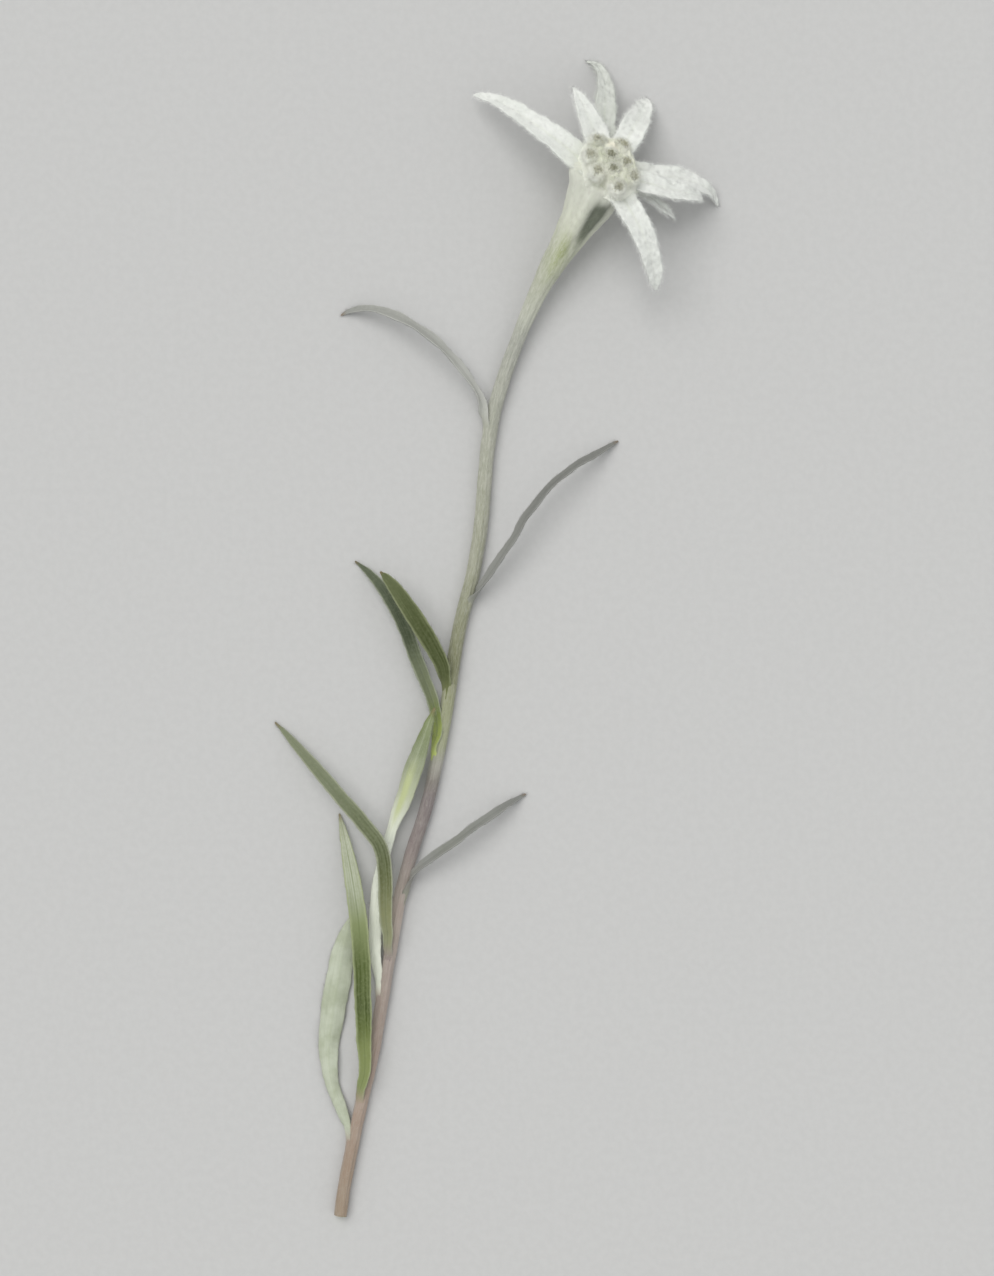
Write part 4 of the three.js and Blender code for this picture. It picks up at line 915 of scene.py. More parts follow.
def blade_points(table, style, seed, steps, around):
    """Rings of points for a leaf or bract, and what each point is: (points, share, across, face)."""
    track = Track(table["rows"])
    share = fine_shares(steps)
    row = track(share)
    c, hw, th, cup = row[:, :3], row[:, 3], row[:, 4], row[:, 5]
    tan = track.tangent(share)
    up = row[:, 6:9]
    up = unit(up - (up * tan).sum(1, keepdims=True) * tan)
    side = np.cross(tan, up)
    # a rounded end, and an outline that wavers a little
    left = (1 - share) * track.length
    r = max(hw[-1], 0.12)
    hw = np.maximum(hw, 0.10) * np.sqrt(np.clip(1 - (1 - np.minimum(left / r, 1)) ** 2, 0.02, 1))
    th = th * np.clip(0.35 + 0.65 * np.minimum(left / 1.2, 1), 0, 1)
    r0 = np.random.default_rng(seed)
    wob = lambda n: sum(r0.uniform(0.4, 1) * np.sin(2 * math.pi * (share * track.length / w + r0.uniform())) for w in n)
    hwl = hw * (1 + style["ragged"] * wob((3.1, 5.3, 8.7)) * 0.5)
    hwr = hw * (1 + style["ragged"] * wob((2.7, 4.9, 9.9)) * 0.5)
    lift_l = style["wave"] * wob((9.0, 14.0)) * smooth(share / 0.2) * smooth((1 - share) / 0.15)
    lift_r = style["wave"] * wob((8.0, 13.0)) * smooth(share / 0.2) * smooth((1 - share) / 0.15)
    theta = 2 * math.pi * np.arange(around) / around
    s = -np.cos(theta)
    body = np.abs(np.sin(theta)) ** style["edge"] * np.sign(np.sin(theta))
    S = s[None, :] * np.ones((len(share), 1))
    A = share[:, None] * np.ones((1, around))
    F = np.sign(body)[None, :] * np.minimum(np.abs(body[None, :]) * 2.2, 1) * np.ones((len(share), 1))
    half = np.where(S < 0, hwl[:, None], hwr[:, None])
    wide = half * S
    rise = cup[:, None] * half * S**2 + np.where(S < 0, lift_l[:, None], lift_r[:, None]) * np.abs(S) ** 1.5
    # a V-shaped fold along the middle
    rise += style["fold"] * hw[:, None] * (np.sqrt(S**2 + 0.02) - 0.14)
    thick = 0.5 * th[:, None] * body[None, :]
    # midrib: a groove above and a ridge below, and faint lines beside it
    fade = smooth(A / 0.08) * smooth((1 - A) / 0.12)
    groove = bell(S, 0, style["rib_width"]) * fade
    thick = thick - np.where(body[None, :] > 0, style["groove"] * groove, style["ridge"] * groove)
    for k, v in enumerate(style["lines"]):
        thick = thick - np.where(body[None, :] > 0, 1, -1) * style["line_depth"] * (bell(S, v, 0.06) + bell(S, -v, 0.06)) * fade
    pts = c[:, None, :] + side[:, None, :] * wide[..., None] + up[:, None, :] * (rise + thick)[..., None]
    nrm = grid_normals(pts)
    probe = pts.copy()
    lump = style["lump"] * Ripple(seed + 1, style["lump_size"])(probe) + style["lump2"] * Ripple(seed + 2, style["lump_size"] * 0.36)(probe)
    lump *= (smooth(left / 0.8))[:, None]
    if (np.einsum("ijk,ijk->ij", nrm[2:-2], up[2:-2, None, :] * np.sign(body)[None, :, None])).mean() < 0:
        nrm = -nrm
    pts = pts + nrm * lump[..., None]
    return pts, A, S, F, nrm, track, (c, tan, up, side)


def pick_on_grid(pts, nrm, A, S, F, n, rng, weight=None):
    """n points spread over a tube by area (and weight): place, normal, grid spot and surface data."""
    rings, around = pts.shape[:2]
    nxt = np.roll(pts, -1, 1)
    area = np.linalg.norm(np.cross(pts[1:] - pts[:-1], nxt[:-1] - pts[:-1]), axis=2)
    w = area if weight is None else area * np.maximum(weight[:-1], 0)
    p = (w / w.sum()).ravel()
    cell = rng.choice(len(p), n, p=p)
    i, j = cell // around, cell % around
    fu, fv = rng.uniform(0, 1, (2, n))
    j2 = (j + 1) % around

    def read(g):
        a, b, c_, d = g[i, j], g[i, j2], g[i + 1, j], g[i + 1, j2]
        if g.ndim == 3:
            x, y = fv[:, None], fu[:, None]
        else:
            x, y = fv, fu
        return (a * (1 - x) + b * x) * (1 - y) + (c_ * (1 - x) + d * x) * y

    uv = np.stack([(i + fu) / (rings - 1), (j + fv) / around], 1)
    return read(pts), unit(read(nrm)), uv, read(A), read(S), read(F), i


FELT = dict(ragged=0.055, wave=0.10, edge=0.62, fold=0.06, rib_width=0.15, groove=0.16, ridge=0.22, lines=(0.38, 0.66), line_depth=0.035,
            lump=0.055, lump_size=2.4, lump2=0.028)
GREEN = dict(ragged=0.040, wave=0.22, edge=0.62, fold=0.16, rib_width=0.10, groove=0.12, ridge=0.20, lines=(0.42, 0.70), line_depth=0.010,
             lump=0.022, lump_size=2.6, lump2=0.010)


def build_bract(name, table, seed, material):
    rng = np.random.default_rng(seed)
    m = Mesh()
    length = Track(table["rows"]).length
    steps = int(np.clip(length * 4.6, 70, 140))
    around = 34
    pts, A, S, F, nrm, track, (c, tan, up, side) = blade_points(table, FELT, seed, steps, around)
    add_tube(m, pts, 0, A, S, F)
    n = int(np.clip(length * 188, 1300, 4600))
    edge = 0.8 + 0.9 * np.abs(S) ** 6
    P, N, uv, a, s, f, i = pick_on_grid(pts, nrm, A, S, F, n, rng, edge * (0.55 + 0.45 * smooth(A / 0.15)))
    t, sd = tan[i], side[i]
    yaw = rng.normal(0, 0.60, n)[:, None]
    lay = unit(t * np.cos(yaw) + sd * np.sin(yaw) + sd * (0.50 * np.sign(s) * np.abs(s) ** 3)[:, None])
    lift = rng.uniform(0.04, 0.20, n) + 0.22 * np.abs(s) ** 6
    lead = unit(N * lift[:, None] + lay + 0.10 * rng.normal(size=(n, 3)))
    back = unit(lay - 0.22 * N)
    ln = rng.uniform(0.45, 1.05, n) * (0.8 + 0.2 * smooth(a / 0.3))
    rim = (0.85 * smooth((np.abs(s) - 0.62) / 0.30))[:, None]
    add_strands(m, P - 0.006 * N, lead, back, ln, rng.uniform(0.017, 0.027, n), rng, 0, 1.1, 0.14, uv, a, s, f, segments=2, up=N,
                shade=unit(N * (1 - rim) + up[i] * rim))
    return m.make(name + "_wool", [material])


def build_leaf(name, table, seed, material, dense=1.0):
    rng = np.random.default_rng(seed)
    m = Mesh()
    table = rooted(table)
    length = Track(table["rows"]).length
    steps = int(np.clip(length * 3.2, 100, 190))
    around = 26
    pts, A, S, F, nrm, track, (c, tan, up, side) = blade_points(table, GREEN, seed, steps, around)
    near = smooth((7.4 - A * length) / 5.0)
    add_tube(m, pts, 0, A, S, F, near, seed=0.37)
    n = int(np.clip(length * 28 * dense, 600, 1900))
    weight = 0.28 + 2.2 * np.abs(S) ** 8 + 0.75 * (F < 0)
    P, N, uv, a, s, f, i = pick_on_grid(pts, nrm, A, S, F, n, rng, weight)
    t, sd = tan[i], side[i]
    yaw = rng.normal(0, 0.38, n)[:, None]
    lay = unit(t * np.cos(yaw) + sd * np.sin(yaw) + sd * (0.5 * np.sign(s) * np.abs(s) ** 4)[:, None])
    lead = unit(N * rng.uniform(0.08, 0.34, n)[:, None] + lay + 0.10 * rng.normal(size=(n, 3)))
    ln = rng.uniform(0.40, 0.90, n)
    add_strands(m, P - 0.01 * N, lead, unit(lay - 0.2 * N), ln, rng.uniform(0.014, 0.021, n), rng, 0, 0.9, 0.08, uv, a, s, f, segments=2, up=N,
                base=smooth((7.4 - a * length) / 5.0))
    return m.make(name + "_blade", [material])


# ---------------------------------------------------------------- the stem
def build_stem():
    rng = np.random.default_rng(7)
    m = Mesh()
    track = Track(STEM)
    share = np.concatenate([np.linspace(0, 0.84, 400, endpoint=False), np.linspace(0.84, 1.0, 110)])
    row = track(share)
    tan = track.tangent(share)
    turn = smooth((share - 0.90) / 0.10)[:, None]
    along = unit(tan * (1 - turn) + AXIS * turn)
    up = np.array([0, 0, 1.0]) - along[:, 2:3] * along
    up = unit(up)
    side = np.cross(along, up)
    around = 56
    ang = 2 * math.pi * np.arange(around) / around
    R = row[:, 3][:, None] * np.ones((1, around))
    A = share[:, None] * np.ones((1, around))
    G = ang[None, :] * np.ones((len(share), 1))
    # fine ribs along the stem, stronger on the neck where the bracts run down it
    twist = 1.3 * A * 6
    neck = smooth((A - 0.855) / 0.10)
    rib = 0.030 * np.cos(9 * G + twist) + 0.018 * np.cos(14 * G - 0.7 * twist + 1)
    rib = rib * (1 - neck) + neck * (0.045 * np.cos(8 * G + 0.6) + 0.020 * np.cos(17 * G + 2.0))
    lump = 0.020 * Ripple(71, 5.0)(row[:, None, :3] + 3 * np.stack([np.cos(G), np.sin(G), 0 * G], -1))
    R = R * (1 + rib + lump)
    # the hollow of the neck, between the run-down bases of two bracts (angles from below, through +X, to the top)
    g_at = GROOVE_ANGLE
    reach = smooth((A - 0.896) / 0.055) * (1 - smooth((A - 0.971) / 0.028))
    d = np.angle(np.exp(1j * (G - g_at)))
    width = 0.42 + 0.06 * smooth((A - 0.925) / 0.07)
    R = R * (1 - 0.24 * reach * np.exp(-((d / width) ** 2)))
    flare = smooth((A - 0.93) / 0.07)
    for name, table in BRACTS.items():
        v = np.array(table["rows"][2][:3]) - HEAD
        a0 = math.atan2(v @ side[-1], -(v @ up[-1]))
        dd = np.angle(np.exp(1j * (G - a0)))
        strong = {"bract_left_long": 0.20, "bract_lower": 0.10}.get(name, 0.07)
        R = R * (1 + strong * flare * np.exp(-((dd / (0.55 if name == "bract_left_long" else 0.34)) ** 2)))
    # a web of wool between the long bract's lower edge and the neck
    v = WEB_TOWARDS - (WEB_TOWARDS @ AXIS) * AXIS
    a0 = math.atan2(v @ side[-1], -(v @ up[-1]))
    dd = np.angle(np.exp(1j * (G - a0)))
    R = R * (1 + 0.30 * smooth((A - 0.968) / 0.032) * np.exp(-((dd / 0.50) ** 2)))
    # small swellings and run-down lines where leaves leave
    for name, table in LEAVES.items():
        p = np.array(table["rows"][0][:3])
        near = np.linalg.norm(row[:, :3] - p, axis=1)
        s0 = share[near.argmin()]
        v = np.array(table["rows"][2][:3]) - row[near.argmin(), :3]
        a0 = math.atan2(v @ side[near.argmin()], -(v @ up[near.argmin()]))
        dd = np.angle(np.exp(1j * (G - a0)))
        run = (s0 - A) * track.length
        R = R * (1 + 0.10 * np.exp(-((dd / 0.8) ** 2)) * np.exp(-((run / 1.6) ** 2)) + 0.05 * np.exp(-((dd / 0.30) ** 2)) * smooth(run / 1.0) * np.exp(-np.maximum(run, 0) / 9.0))
    pts = row[:, None, :3] + side[:, None, :] * (R * np.sin(G))[..., None] - up[:, None, :] * (R * np.cos(G))[..., None]
    # the neck's wool rises to meet the lower edges of the long bract and the lower bract
    towards = pts - row[:, None, :3]
    outward = unit(towards - (towards @ AXIS)[..., None] * AXIS * turn[:, None])
    gate = smooth((outward[..., 2] + 0.35) / 0.55) * smooth((A - 0.925) / 0.03)
    lift = np.zeros_like(A)
    for name, sign, last, reach_mm in (("bract_left_long", 0, 0.42, 1.9), ("bract_lower", 0, 0.22, 1.3)):
        bp, ba, bs = blade_points(BRACTS[name], FELT, 1, 60, 34)[:3]
        for s_ in (-1, 1):
            k_ = np.abs(bs[0] - s_).argmin()
            edge = bp[: int(60 * last), k_]
            away = pts[..., None, :2] - edge[:, :2]
            dist = np.linalg.norm(away, axis=-1)
            j = dist.argmin(-1)
            rise = edge[j, 2] + 0.05 - pts[..., 2]
            lift = np.maximum(lift, np.clip(rise, 0, 1.7) * np.exp(-((dist.min(-1) / reach_mm) ** 2)))
    pts[..., 2] += lift * gate
    bare = bell(A, 0.920, 0.028) * np.exp(-((np.angle(np.exp(1j * (G - BARE_ANGLE))) / 0.62) ** 2))
    # the hollow's darkening: thinner wool there, and painted shade
    hollow_shade_mask = reach * np.exp(-((np.abs(d) / (1.22 * width)) ** 2.2))
    # dome over the receptacle
    top = []
    for q in np.linspace(0, 1, 9)[1:]:
        shrink = math.cos(q * math.pi / 2 * 0.995)
        top.append(HEAD + (pts[-1] - HEAD) * shrink + AXIS * 0.55 * math.sin(q * math.pi / 2))
    pts = np.concatenate([pts, np.array(top)])
    A = np.concatenate([A, np.full((len(top), around), 1.0)])
    F = np.concatenate([np.clip(bare - 1.15 * hollow_shade_mask, -1, 1), np.zeros((len(top), around))])
    G = np.concatenate([G, np.repeat(G[-1:], len(top), 0)])
    # body, open at the cut end, where the cut face joins it
    rings = len(pts)
    co = np.concatenate([pts.reshape(-1, 3), [pts[-1].mean(0)]])
    quads = grid_faces(rings, around)
    tris = cap_faces(rings - 1, around, rings * around, False)
    X = np.sin(G)
    uv = np.stack([0.01 + 0.47 * (np.arange(rings) / rings)[:, None] * np.ones((1, around)), 0.01 + 0.98 * (np.arange(around) / around)[None] * np.ones((rings, 1))], -1).reshape(-1, 2)
    uv = np.concatenate([uv, [[0.485, 0.5]]])
    # cut face: rind, woody ring and sunken pith
    c0 = pts[0].mean(0)
    rel = pts[0] - c0
    inner, sh, depth = [], [0.94, 0.82, 0.66, 0.52, 0.40, 0.22], [-0.05, 0.02, 0.05, 0.02, 0.16, 0.20]
    for f_, dpt in zip(sh, depth):
        wob = 1 + 0.03 * np.sin(5 * ang + 9 * f_)
        inner.append(c0 + rel * (f_ * wob)[:, None] + tan[0] * dpt)
    inner = np.array(inner)
    base = len(co)
    co = np.concatenate([co, inner.reshape(-1, 3), [c0 + tan[0] * 0.2]])
    kk = np.arange(around)
    cq = [np.stack([kk, base + kk, base + (kk + 1) % around, (kk + 1) % around], 1)]
    for r_ in range(len(inner) - 1):
        a_, b_ = base + r_ * around + kk, base + r_ * around + (kk + 1) % around
        cq.append(np.stack([a_, a_ + around, b_ + around, b_], 1))
    last = base + (len(inner) - 1) * around
    ct = np.stack([last + kk, np.full(around, base + len(inner) * around), last + (kk + 1) % around], 1)
    across = np.concatenate([X.ravel(), [0.0], np.repeat(sh, around), [0.0]])
    alongv = np.concatenate([A.ravel(), [1.0], np.zeros(len(inner) * around + 1)])
    facev = np.concatenate([F.ravel(), [0.0], np.zeros(len(inner) * around + 1)])
    uvc = 0.505 + 0.0 * inner[..., :2]
    uvc = np.stack([0.50 + 0.006 * np.cos(ang)[None] * np.array(sh)[:, None], 0.5 + 0.30 * np.sin(ang)[None] * np.array(sh)[:, None]], -1).reshape(-1, 2)
    uv = np.concatenate([uv, uvc, [[0.50, 0.5]]])
    start = m.n
    m.add(co, quads, tris, 0, uv, along=alongv, across=across, face=facev)
    cq = np.concatenate(cq)
    m.quads.append(cq + start)
    m.qm.append(np.full(len(cq), 1, np.int32))
    m.tris.append(ct + start)
    m.tm.append(np.full(len(ct), 1, np.int32))
    # down
    nrm = grid_normals(pts)
    mid = np.concatenate([row[:, :3], np.repeat(HEAD[None], len(top), 0)])
    if (np.einsum("ijk,ijk->ij", nrm[:400], pts[:400] - mid[:400, None])).mean() < 0:
        nrm = -nrm
    n = 8800
    w = (0.5 + 0.9 * smooth((A - 0.3) / 0.6)) * (1 - 0.8 * np.abs(F))
    P, N, uvs, a, s, f, i = pick_on_grid(pts, nrm, A, X, F, n, rng, w)
    t = np.concatenate([along, np.repeat(AXIS[None], len(top), 0)])[i]
    cr = unit(np.cross(N, t))
    yaw = rng.normal(0, 0.65, n)[:, None]
    lay = unit(t * np.cos(yaw) + cr * np.sin(yaw))
    lead = unit(N * rng.uniform(0.05, 0.40, n)[:, None] + lay * 0.9 + 0.12 * rng.normal(size=(n, 3)))
    ln = rng.uniform(0.40, 1.0, n) * (0.8 + 0.3 * smooth((a - 0.8) / 0.15))
    add_strands(m, P - 0.008 * N, lead, unit(lay - 0.30 * N), ln, rng.uniform(0.015, 0.024, n), rng, 0, 1.1, 0.14, uvs, a, s, f, segments=2, up=N,
                shade=unit(N + 0.7 * np.array([0.0, 0.0, 1.0]) * (N[:, 2:] > -0.2)))
    return m.make("stem_downy", [STEM_SKIN, STEM_CUT])


GROOVE_ANGLE = 2.38
BARE_ANGLE = 2.90
WEB_TOWARDS = np.array([-1.0, 0.06, 0.0])


# ---------------------------------------------------------------- the small flower heads
def head_frame(u, v, height):
    lean = unit(AXIS + HEAD_LEAN * u * E1 + HEAD_LEAN * v * E2)
    a1 = unit(E1 - (E1 @ lean) * lean)
    a2 = np.cross(lean, a1)
    middle = HEAD + E1 * u + E2 * v + AXIS * height
    return middle, lean, a1, a2


HEADS_MIDDLE = np.mean([c[:2] for c in CAPITULA.values()], 0)
# how dry and brown the scale tips of each head are
DRYNESS = {"capitulum_top_left": 0.76, "capitulum_bottom": 0.72, "capitulum_low_left": 0.84, "capitulum_low_right": 0.86, "capitulum_left": 0.86, "capitulum_right": 0.94}


def outer_white(plan):
    """How far the wool at a plan point has turned white: outwards, and sooner towards the neck and the long left bract."""
    d = plan - HEADS_MIDDLE
    far = np.linalg.norm(d, axis=-1)
    to_neck = smooth((-(0.80 * d[..., 0] + 0.60 * d[..., 1]) / np.maximum(far, 0.1) - 0.35) / 0.5)
    return smooth((far - 4.9 + 1.1 * to_neck) / 1.6)


def cream_highlight_patch(plan):
    """The clean cream wool between the middle head and the two top ones, with a painted highlight on it."""
    d = plan - np.array([0.17, 3.38])
    return np.exp(-(((0.80 * d[..., 0] - 0.60 * d[..., 1]) / 1.40) ** 2) - ((0.60 * d[..., 0] + 0.80 * d[..., 1]) / 0.75) ** 2)


def build_capitulum(name, spec, seed):
    u, v, height, radius = spec
    dry = DRYNESS.get(name, 1.0)
    rng = np.random.default_rng(seed)
    mid, lean, a1, a2 = head_frame(u, v, height)
    low = HEAD_FOOT - height - 0.9
    to = lambda x, y, z: mid + a1 * np.asarray(x)[..., None] + a2 * np.asarray(y)[..., None] + lean * np.asarray(z)[..., None]
    rim = 1.05                      # height of the rim above the middle
    m = Mesh()
    # woolly cup
    around = 30
    ang = 2 * math.pi * np.arange(around) / around
    prof = [(0.0, 0.62), (0.2, 0.88), (0.4, 1.10), (0.58, 1.19), (0.74, 1.17), (0.87, 1.06), (0.95, 0.90), (0.99, 0.75), (1.0, 0.62), (0.97, 0.52), (0.90, 0.44), (0.84, 0.20)]
    pz = np.interp(np.linspace(0, 1, 30), np.linspace(0, 1, len(prof)), [p[0] for p in prof])
    pr = np.interp(np.linspace(0, 1, 30), np.linspace(0, 1, len(prof)), [p[1] for p in prof])
    wob = 1 + 0.06 * np.sin(2 * ang + rng.uniform(0, 6)) + 0.05 * np.sin(3 * ang + rng.uniform(0, 6)) + 0.04 * np.sin(7 * ang + rng.uniform(0, 6))
    rr = radius * pr[:, None] * wob[None]
    z = (low + (rim - low) * pz)[:, None] * np.ones((1, around))
    pts = to(rr * np.cos(ang), rr * np.sin(ang), z)
    nrm = grid_normals(pts)
    if (np.einsum("ijk,ijk->ij", nrm, pts - mid)).mean() < 0:
        nrm = -nrm
    pts = pts + nrm * (0.10 * Ripple(seed + 5, 1.3)(pts))[..., None]
    A = (0.5 + 0.5 * pz)[:, None] * np.ones((1, around))
    S = np.ones_like(A)
    # whiter where the cup looks out over the bracts, and creamier beside the bright patch, where a highlight is painted
    # on the cream wool
    plan = np.stack([(pts - HEAD) @ E1, (pts - HEAD) @ E2], -1)
    white = outer_white(plan)
    F = 1 - 0.8 * cream_highlight_patch(plan)
    add_tube(m, pts, 0, A, S, F, white)
    # scales with dry tips, in two rows round the rim
    for ringno, (num, base_r, tip_r, base_z, tip_z, wide) in enumerate(((9, 0.84, 0.60, 0.30, 1.26, 0.36), (7, 0.64, 0.42, 0.35, 1.36, 0.30))):
        for k in range(num):
            th = 2 * math.pi * (k + 0.5 * ringno + rng.uniform(-0.18, 0.18)) / num
            rad = a1 * math.cos(th) + a2 * math.sin(th)
            tng = -a1 * math.sin(th) + a2 * math.cos(th)
            t = np.linspace(0, 1, 8)
            jit = rng.uniform(-0.12, 0.12)
            rad_at = radius * (base_r + (tip_r - base_r + jit * 0.6) * t + 0.16 * np.sin(math.pi * t) * (1 if ringno == 0 else 0.6))
            zz = base_z + (tip_z + jit - base_z) * t
            w = wide * np.array([0.75, 0.95, 1.05, 1.05, 0.95, 0.74, 0.44, 0.10]) * 0.5 * rng.uniform(0.85, 1.15)
            aa = 2 * math.pi * np.arange(8) / 8
            cen = mid + rad * rad_at[:, None] + lean * zz[:, None]
            tang = unit(np.gradient(cen, axis=0))
            outn = unit(np.cross(tang, tng))
            ring = cen[:, None] + tng * (w[:, None] * np.cos(aa))[..., None] + outn[:, None] * ((0.055 * (1 - 0.5 * t))[:, None] * np.sin(aa) + 0.22 * w[:, None] * np.cos(aa) ** 2)[..., None]
            add_tube(m, ring, 1, dry * t[:, None] * np.ones((1, 8)), np.cos(aa)[None] * np.ones((8, 1)), 0.0, seed=rng.uniform(0.05, 0.95))
    # wool round the cup, some of it reaching over the rim
    n = 1100
    P, N, uv, a, skirt, f, i = pick_on_grid(pts, nrm, A, white, F, n, rng, 0.3 + 1.4 * smooth((A - 0.72) / 0.2))
    yaw = rng.uniform(-math.pi, math.pi, n)[:, None]
    t1 = unit(np.cross(N, lean) + 1e-6)
    t2 = np.cross(N, t1)
    lay = unit(t1 * np.cos(yaw) + t2 * np.sin(yaw) + 0.35 * lean)
    lead = unit(N * rng.uniform(0.3, 0.9, n)[:, None] + lay * 0.8)
    add_strands(m, P - 0.03 * N, lead, unit(lay - 0.3 * N), rng.uniform(0.5, 1.25, n), rng.uniform(0.016, 0.026, n), rng, 0, 1.2, 0.16, uv, 0.8, 1.0, f,
                segments=2, up=unit(N + 0.8 * lean), flat=0.8, base=skirt)
    cup = m.make(name + "_cup", [CUP_GREY if name == "capitulum_top_left" else CUP, SCALE_WARM if name == "capitulum_top_right" else SCALE])
    # florets and pappus
    m = Mesh()
    nf = 15
    gold = math.pi * (3 - math.sqrt(5))
    for k in range(nf):
        rad = radius * 0.46 * math.sqrt((k + 0.5) / nf)
        th = k * gold + rng.uniform(-0.12, 0.12)
        tilt = unit(lean + 0.38 * (rad / radius) * (a1 * math.cos(th) + a2 * math.sin(th)) + 0.06 * rng.normal(size=3))
        b1 = unit(np.cross(tilt, a2))
        b2 = np.cross(tilt, b1)
        foot = mid + (a1 * math.cos(th) + a2 * math.sin(th)) * rad + lean * (rim - 0.50)
        h = rng.uniform(0.72, 0.95) * (1.0 - 0.5 * (rad / radius) ** 2)
        rw = 0.115 * rng.uniform(0.9, 1.12)
        sides = 10
        aa = 2 * math.pi * np.arange(sides) / sides
        five = 0.5 + 0.5 * np.cos(5 * aa)
        prof = [(0.0, 0.55, 0.0), (0.55, 0.75, 0.0), (0.82, 1.05, 0.1), (0.97, 1.45, 0.45), (0.93, 1.75, 0.85), (0.88, 1.0, 0.2), (0.80, 0.5, 0.0)]
        rings = []
        for z_, r_, star in prof:
            rr_ = rw * r_ * (1 - star * 0.45 * (1 - five))
            zz = h * z_ + 0.05 * star * (five - 0.5)
            rings.append(foot + (b1 * (rr_ * np.cos(aa))[:, None]) + (b2 * (rr_ * np.sin(aa))[:, None]) + tilt * (zz[:, None] if np.ndim(zz) else zz))
        rings = np.array(rings)
        tt = np.array([0.0, 0.4, 0.65, 0.9, 1.0, 0.8, 0.6])
        add_tube(m, rings, 0, tt[:, None] * np.ones((1, sides)), 0.0, 0.0, seed=rng.uniform(0, 1))
        if k % 3 != 1:  # anther column
            col = []
            for z_, r_ in ((0.7, 0.30), (1.05, 0.38), (1.22, 0.42), (1.30, 0.2)):
                col.append(foot + b1 * (rw * r_ * np.cos(aa[::2]))[:, None] + b2 * (rw * r_ * np.sin(aa[::2]))[:, None] + tilt * h * z_)
            add_tube(m, np.array(col), 0, 1.0, 0.0, 0.0, seed=rng.uniform(0.6, 1))
    np_ = 70
    rad = radius * 0.56 * np.sqrt(rng.uniform(0, 1, np_))
    th = rng.uniform(0, 2 * math.pi, np_)
    dirn = a1 * np.cos(th)[:, None] + a2 * np.sin(th)[:, None]
    root = mid + dirn * rad[:, None] + lean * (rim - 0.35)
    lead = unit(lean + 0.45 * dirn * (rad / radius)[:, None] + 0.14 * rng.normal(size=(np_, 3)))
    add_strands(m, root, lead, unit(lead + 0.3 * dirn), rng.uniform(0.60, 0.95, np_), rng.uniform(0.018, 0.028, np_), rng, 1, 0.4, 0.05, None, 1.0, 0.0, 0.0, taper=0.2)
    florets = m.make(name + "_florets", [FLORET_DEEP if name in ("capitulum_centre", "capitulum_low_centre") else FLORET if dry > 0.9 else FLORET_PALE, PAPPUS])
    return cup, florets


# height of the disc wool's edge above the receptacle, by angle: on the neck's side it folds down to the neck
SKIRT = ((0, 0.50), (145, 0.50), (160, 0.34), (176, 0.10), (192, -0.06), (198, -0.16), (204, -0.34), (210, -0.62), (216, -1.00), (222, -1.35), (228, -1.80), (234, -1.90), (240, -1.65),
         (246, -1.65), (252, -1.75), (258, -1.60), (264, -0.80), (270, 0.20), (276, 0.50), (360, 0.50))


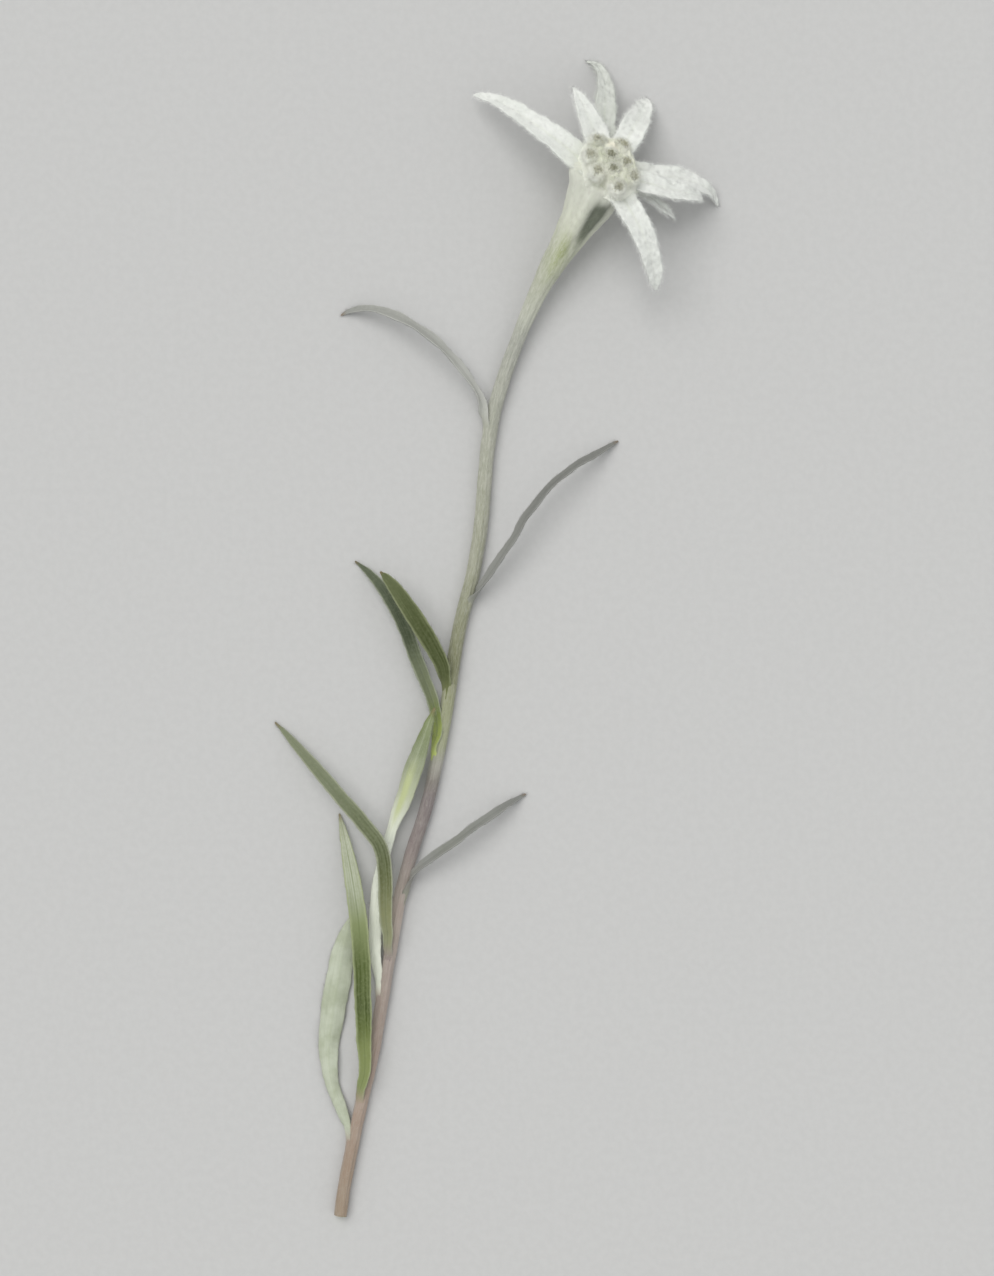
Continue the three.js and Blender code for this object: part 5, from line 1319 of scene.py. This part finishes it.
def build_cushion():
    """The matted wool that fills the disc between the heads, low over the bases of the bracts."""
    rng = np.random.default_rng(900)
    spots = np.array([[c[0], c[1], c[3]] for c in CAPITULA.values()])
    mid = spots[:, :2].mean(0)
    around, rings = 160, 46
    ang = 2 * math.pi * np.arange(around) / around
    ray = np.stack([np.cos(ang), np.sin(ang)], 1)

    def gap(p):
        """Smoothed distance from a plan point to the nearest head's outline, below zero inside."""
        d = np.linalg.norm(p[..., None, :] - spots[:, :2], axis=-1) - 1.38 * spots[:, 2]
        return -0.55 * np.log(np.exp(-d / 0.55).sum(-1))

    far = np.linspace(9.5, 2.0, 400)
    reach = np.interp(np.degrees(ang), (0, 32, 62, 92, 118, 150, 192, 214, 232, 254, 266, 280, 318, 345, 360), (1.20, 1.05, 0.60, 1.50, 0.55, 0.30, 0.25, 0.10, 0.00, -0.32, -0.10, 0.40, 0.60, 1.00, 1.20))
    out = np.array([far[np.argmax(gap(mid + far[:, None] * r) < g)] for r, g in zip(ray, reach)])

    def rounded(row, width):
        """A row of values round the disc with its corners smoothed away."""
        share = np.exp(-0.5 * (np.arange(-12, 13) / width) ** 2)
        return sum(w_ * np.roll(row, k_) for k_, w_ in zip(range(-12, 13), share / share.sum()))

    out = rounded(out, 4.6)
    q = np.linspace(0, 1, rings) ** 0.85
    plan = mid + ray[None] * (q[:, None] * out[None])[..., None]
    near = np.linalg.norm(plan[:, :, None] - spots[:, :2], axis=-1).min(-1)
    crest = 3.62 + 0.25 * np.exp(-(((near - 1.9) / 0.55) ** 2)) + 0.20 * Ripple(901, 2.2)(np.concatenate([plan, 0 * plan[..., :1]], -1))
    edge = rounded(np.interp(np.degrees(ang), *zip(*SKIRT)), 1.8)[None]
    high = edge + (crest - edge) * (1 - smooth((q - 0.65) / 0.35))[:, None]
    top = HEAD + plan[..., :1] * E1 + plan[..., 1:] * E2 + high[..., None] * AXIS
    low = np.minimum(np.full_like(high, 0.30), edge - 0.20)
    base = HEAD + plan[..., :1] * 0.97 * E1 + plan[..., 1:] * 0.97 * E2 + low[..., None] * AXIS
    pts = np.concatenate([top[1:], base[:0:-6]])
    nrm = grid_normals(pts)
    if (nrm[: rings - 1] @ AXIS).mean() < 0:
        nrm = -nrm
    m = Mesh()
    A = np.full(pts.shape[:2], 0.8)
    one = np.ones_like(A)
    white = one.copy()
    white[: rings - 1] = np.maximum(smooth((q[1:, None] - 0.80 + 0.05 * Ripple(903, 1.8)(pts[: rings - 1])) / 0.20), 0.9 * outer_white(plan[1:]))
    F = one.copy()
    # the cream patch, where a highlight is painted on the wool
    F[: rings - 1] = 1 - cream_highlight_patch(plan[1:])
    white[: rings - 1] *= F[: rings - 1]
    pts = pts + nrm * (0.05 * Ripple(902, 0.9)(pts))[..., None]
    add_tube(m, pts, 0, A, one, F, white)
    w = np.zeros_like(A)
    w[: rings - 1] = 1.0
    n = 4200
    P, N, uv, a, skirt, f, i = pick_on_grid(pts, nrm, A, white, F, n, rng, w)
    t1 = unit(np.cross(N, E1))
    t2 = np.cross(N, t1)
    yaw = rng.uniform(-math.pi, math.pi, n)[:, None]
    lay = unit(t1 * np.cos(yaw) + t2 * np.sin(yaw))
    lead = unit(N * rng.uniform(0.15, 0.75, n)[:, None] + lay)
    add_strands(m, P - 0.03 * N, lead, unit(lay - 0.3 * N), rng.uniform(0.6, 1.3, n), rng.uniform(0.015, 0.024, n), rng, 0, 1.2, 0.18, uv, 0.8, 1.0, f,
                segments=2, up=N, flat=0.7, base=skirt, shade=unit(N + 0.8 * AXIS))
    return m.make("disc_wool", [CUP])


# ---------------------------------------------------------------- build everything
def place(piece, node):
    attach(piece, "root")
    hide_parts(node)


place(build_stem(), "stem")
for i, (name, table) in enumerate(BRACTS.items()):
    # the top bract, drooping away from the light, gets the darker felt as painted shade
    shaded_bract = name == "bract_top"
    place(build_bract(name, table, 100 + 13 * i, BRACT_PAINTED_SHADE if shaded_bract else BRACT), name)
place(build_cushion(), "capitulum_centre")
LEAF_LOOK = {"leaf_1": GREY, "leaf_2": DIM, "leaf_3": OLIVE, "leaf_4": DUSK, "leaf_5": PALE, "leaf_6": ASH, "leaf_7": SAGE, "leaf_8": FRESH, "leaf_9": WHITE}
for i, (name, table) in enumerate(LEAVES.items()):
    place(build_leaf(name, table, 300 + 17 * i, LEAF_LOOK[name]), name)
for i, (name, spec) in enumerate(CAPITULA.items()):
    for piece in build_capitulum(name, spec, 500 + 19 * i):
        place(piece, name)


# ---------------------------------------------------------------- surface, light and camera
def floor():
    n, half = 9, 12.0
    xs = np.linspace(-half, half, n)
    m = bpy.data.meshes.new("floor")
    v = [(x, y, -0.00002) for y in xs for x in xs]
    f = [(r * n + c, r * n + c + 1, (r + 1) * n + c + 1, (r + 1) * n + c) for r in range(n - 1) for c in range(n - 1)]
    m.from_pydata(v, [], f)
    o = bpy.data.objects.new("floor", m)
    bpy.context.scene.collection.objects.link(o)
    k = Nodes("floor_paper")
    grain = k.noise(700, 3, 0.6)
    k.link(k.mix(k.remap(grain, 0.3, 0.7), srgb(190, 190, 189), srgb(193, 193, 192)), k.p.inputs["Base Color"])
    k.set(Roughness=0.95, Specular_IOR_Level=0.1)
    m.materials.append(k.m)


def sun(name, azimuth, elevation, energy, softness, colour):
    light = bpy.data.lights.new(name, "SUN")
    light.energy = energy
    light.angle = math.radians(softness)
    light.color = colour
    o = bpy.data.objects.new(name, light)
    a, e = math.radians(azimuth), math.radians(elevation)
    away = Vector((math.cos(e) * math.cos(a), math.cos(e) * math.sin(a), math.sin(e)))
    o.rotation_euler = (-away).to_track_quat("-Z", "Y").to_euler()
    o.location = away
    bpy.context.scene.collection.objects.link(o)


floor()
sun("key", 128, 60, 1.72, 48, (1.0, 0.99, 0.975))
sun("fill", -35, 45, 0.40, 70, (0.98, 0.99, 1.0))
world = bpy.data.worlds.new("studio")
world.use_nodes = True
world.node_tree.nodes["Background"].inputs["Color"].default_value = (0.99, 1.0, 1.0, 1)
world.node_tree.nodes["Background"].inputs["Strength"].default_value = 0.56
bpy.context.scene.world = world
bpy.context.scene.view_settings.view_transform = "Standard"

camera = bpy.data.cameras.new("camera")
camera.lens = 85
camera.sensor_width = 36
camera.clip_start, camera.clip_end = 0.01, 30
cam = bpy.data.objects.new("camera", camera)
cam.location = (0.0, 0.0, 0.600)
cam.rotation_euler = (0, 0, 0)
bpy.context.scene.collection.objects.link(cam)
bpy.context.scene.camera = cam
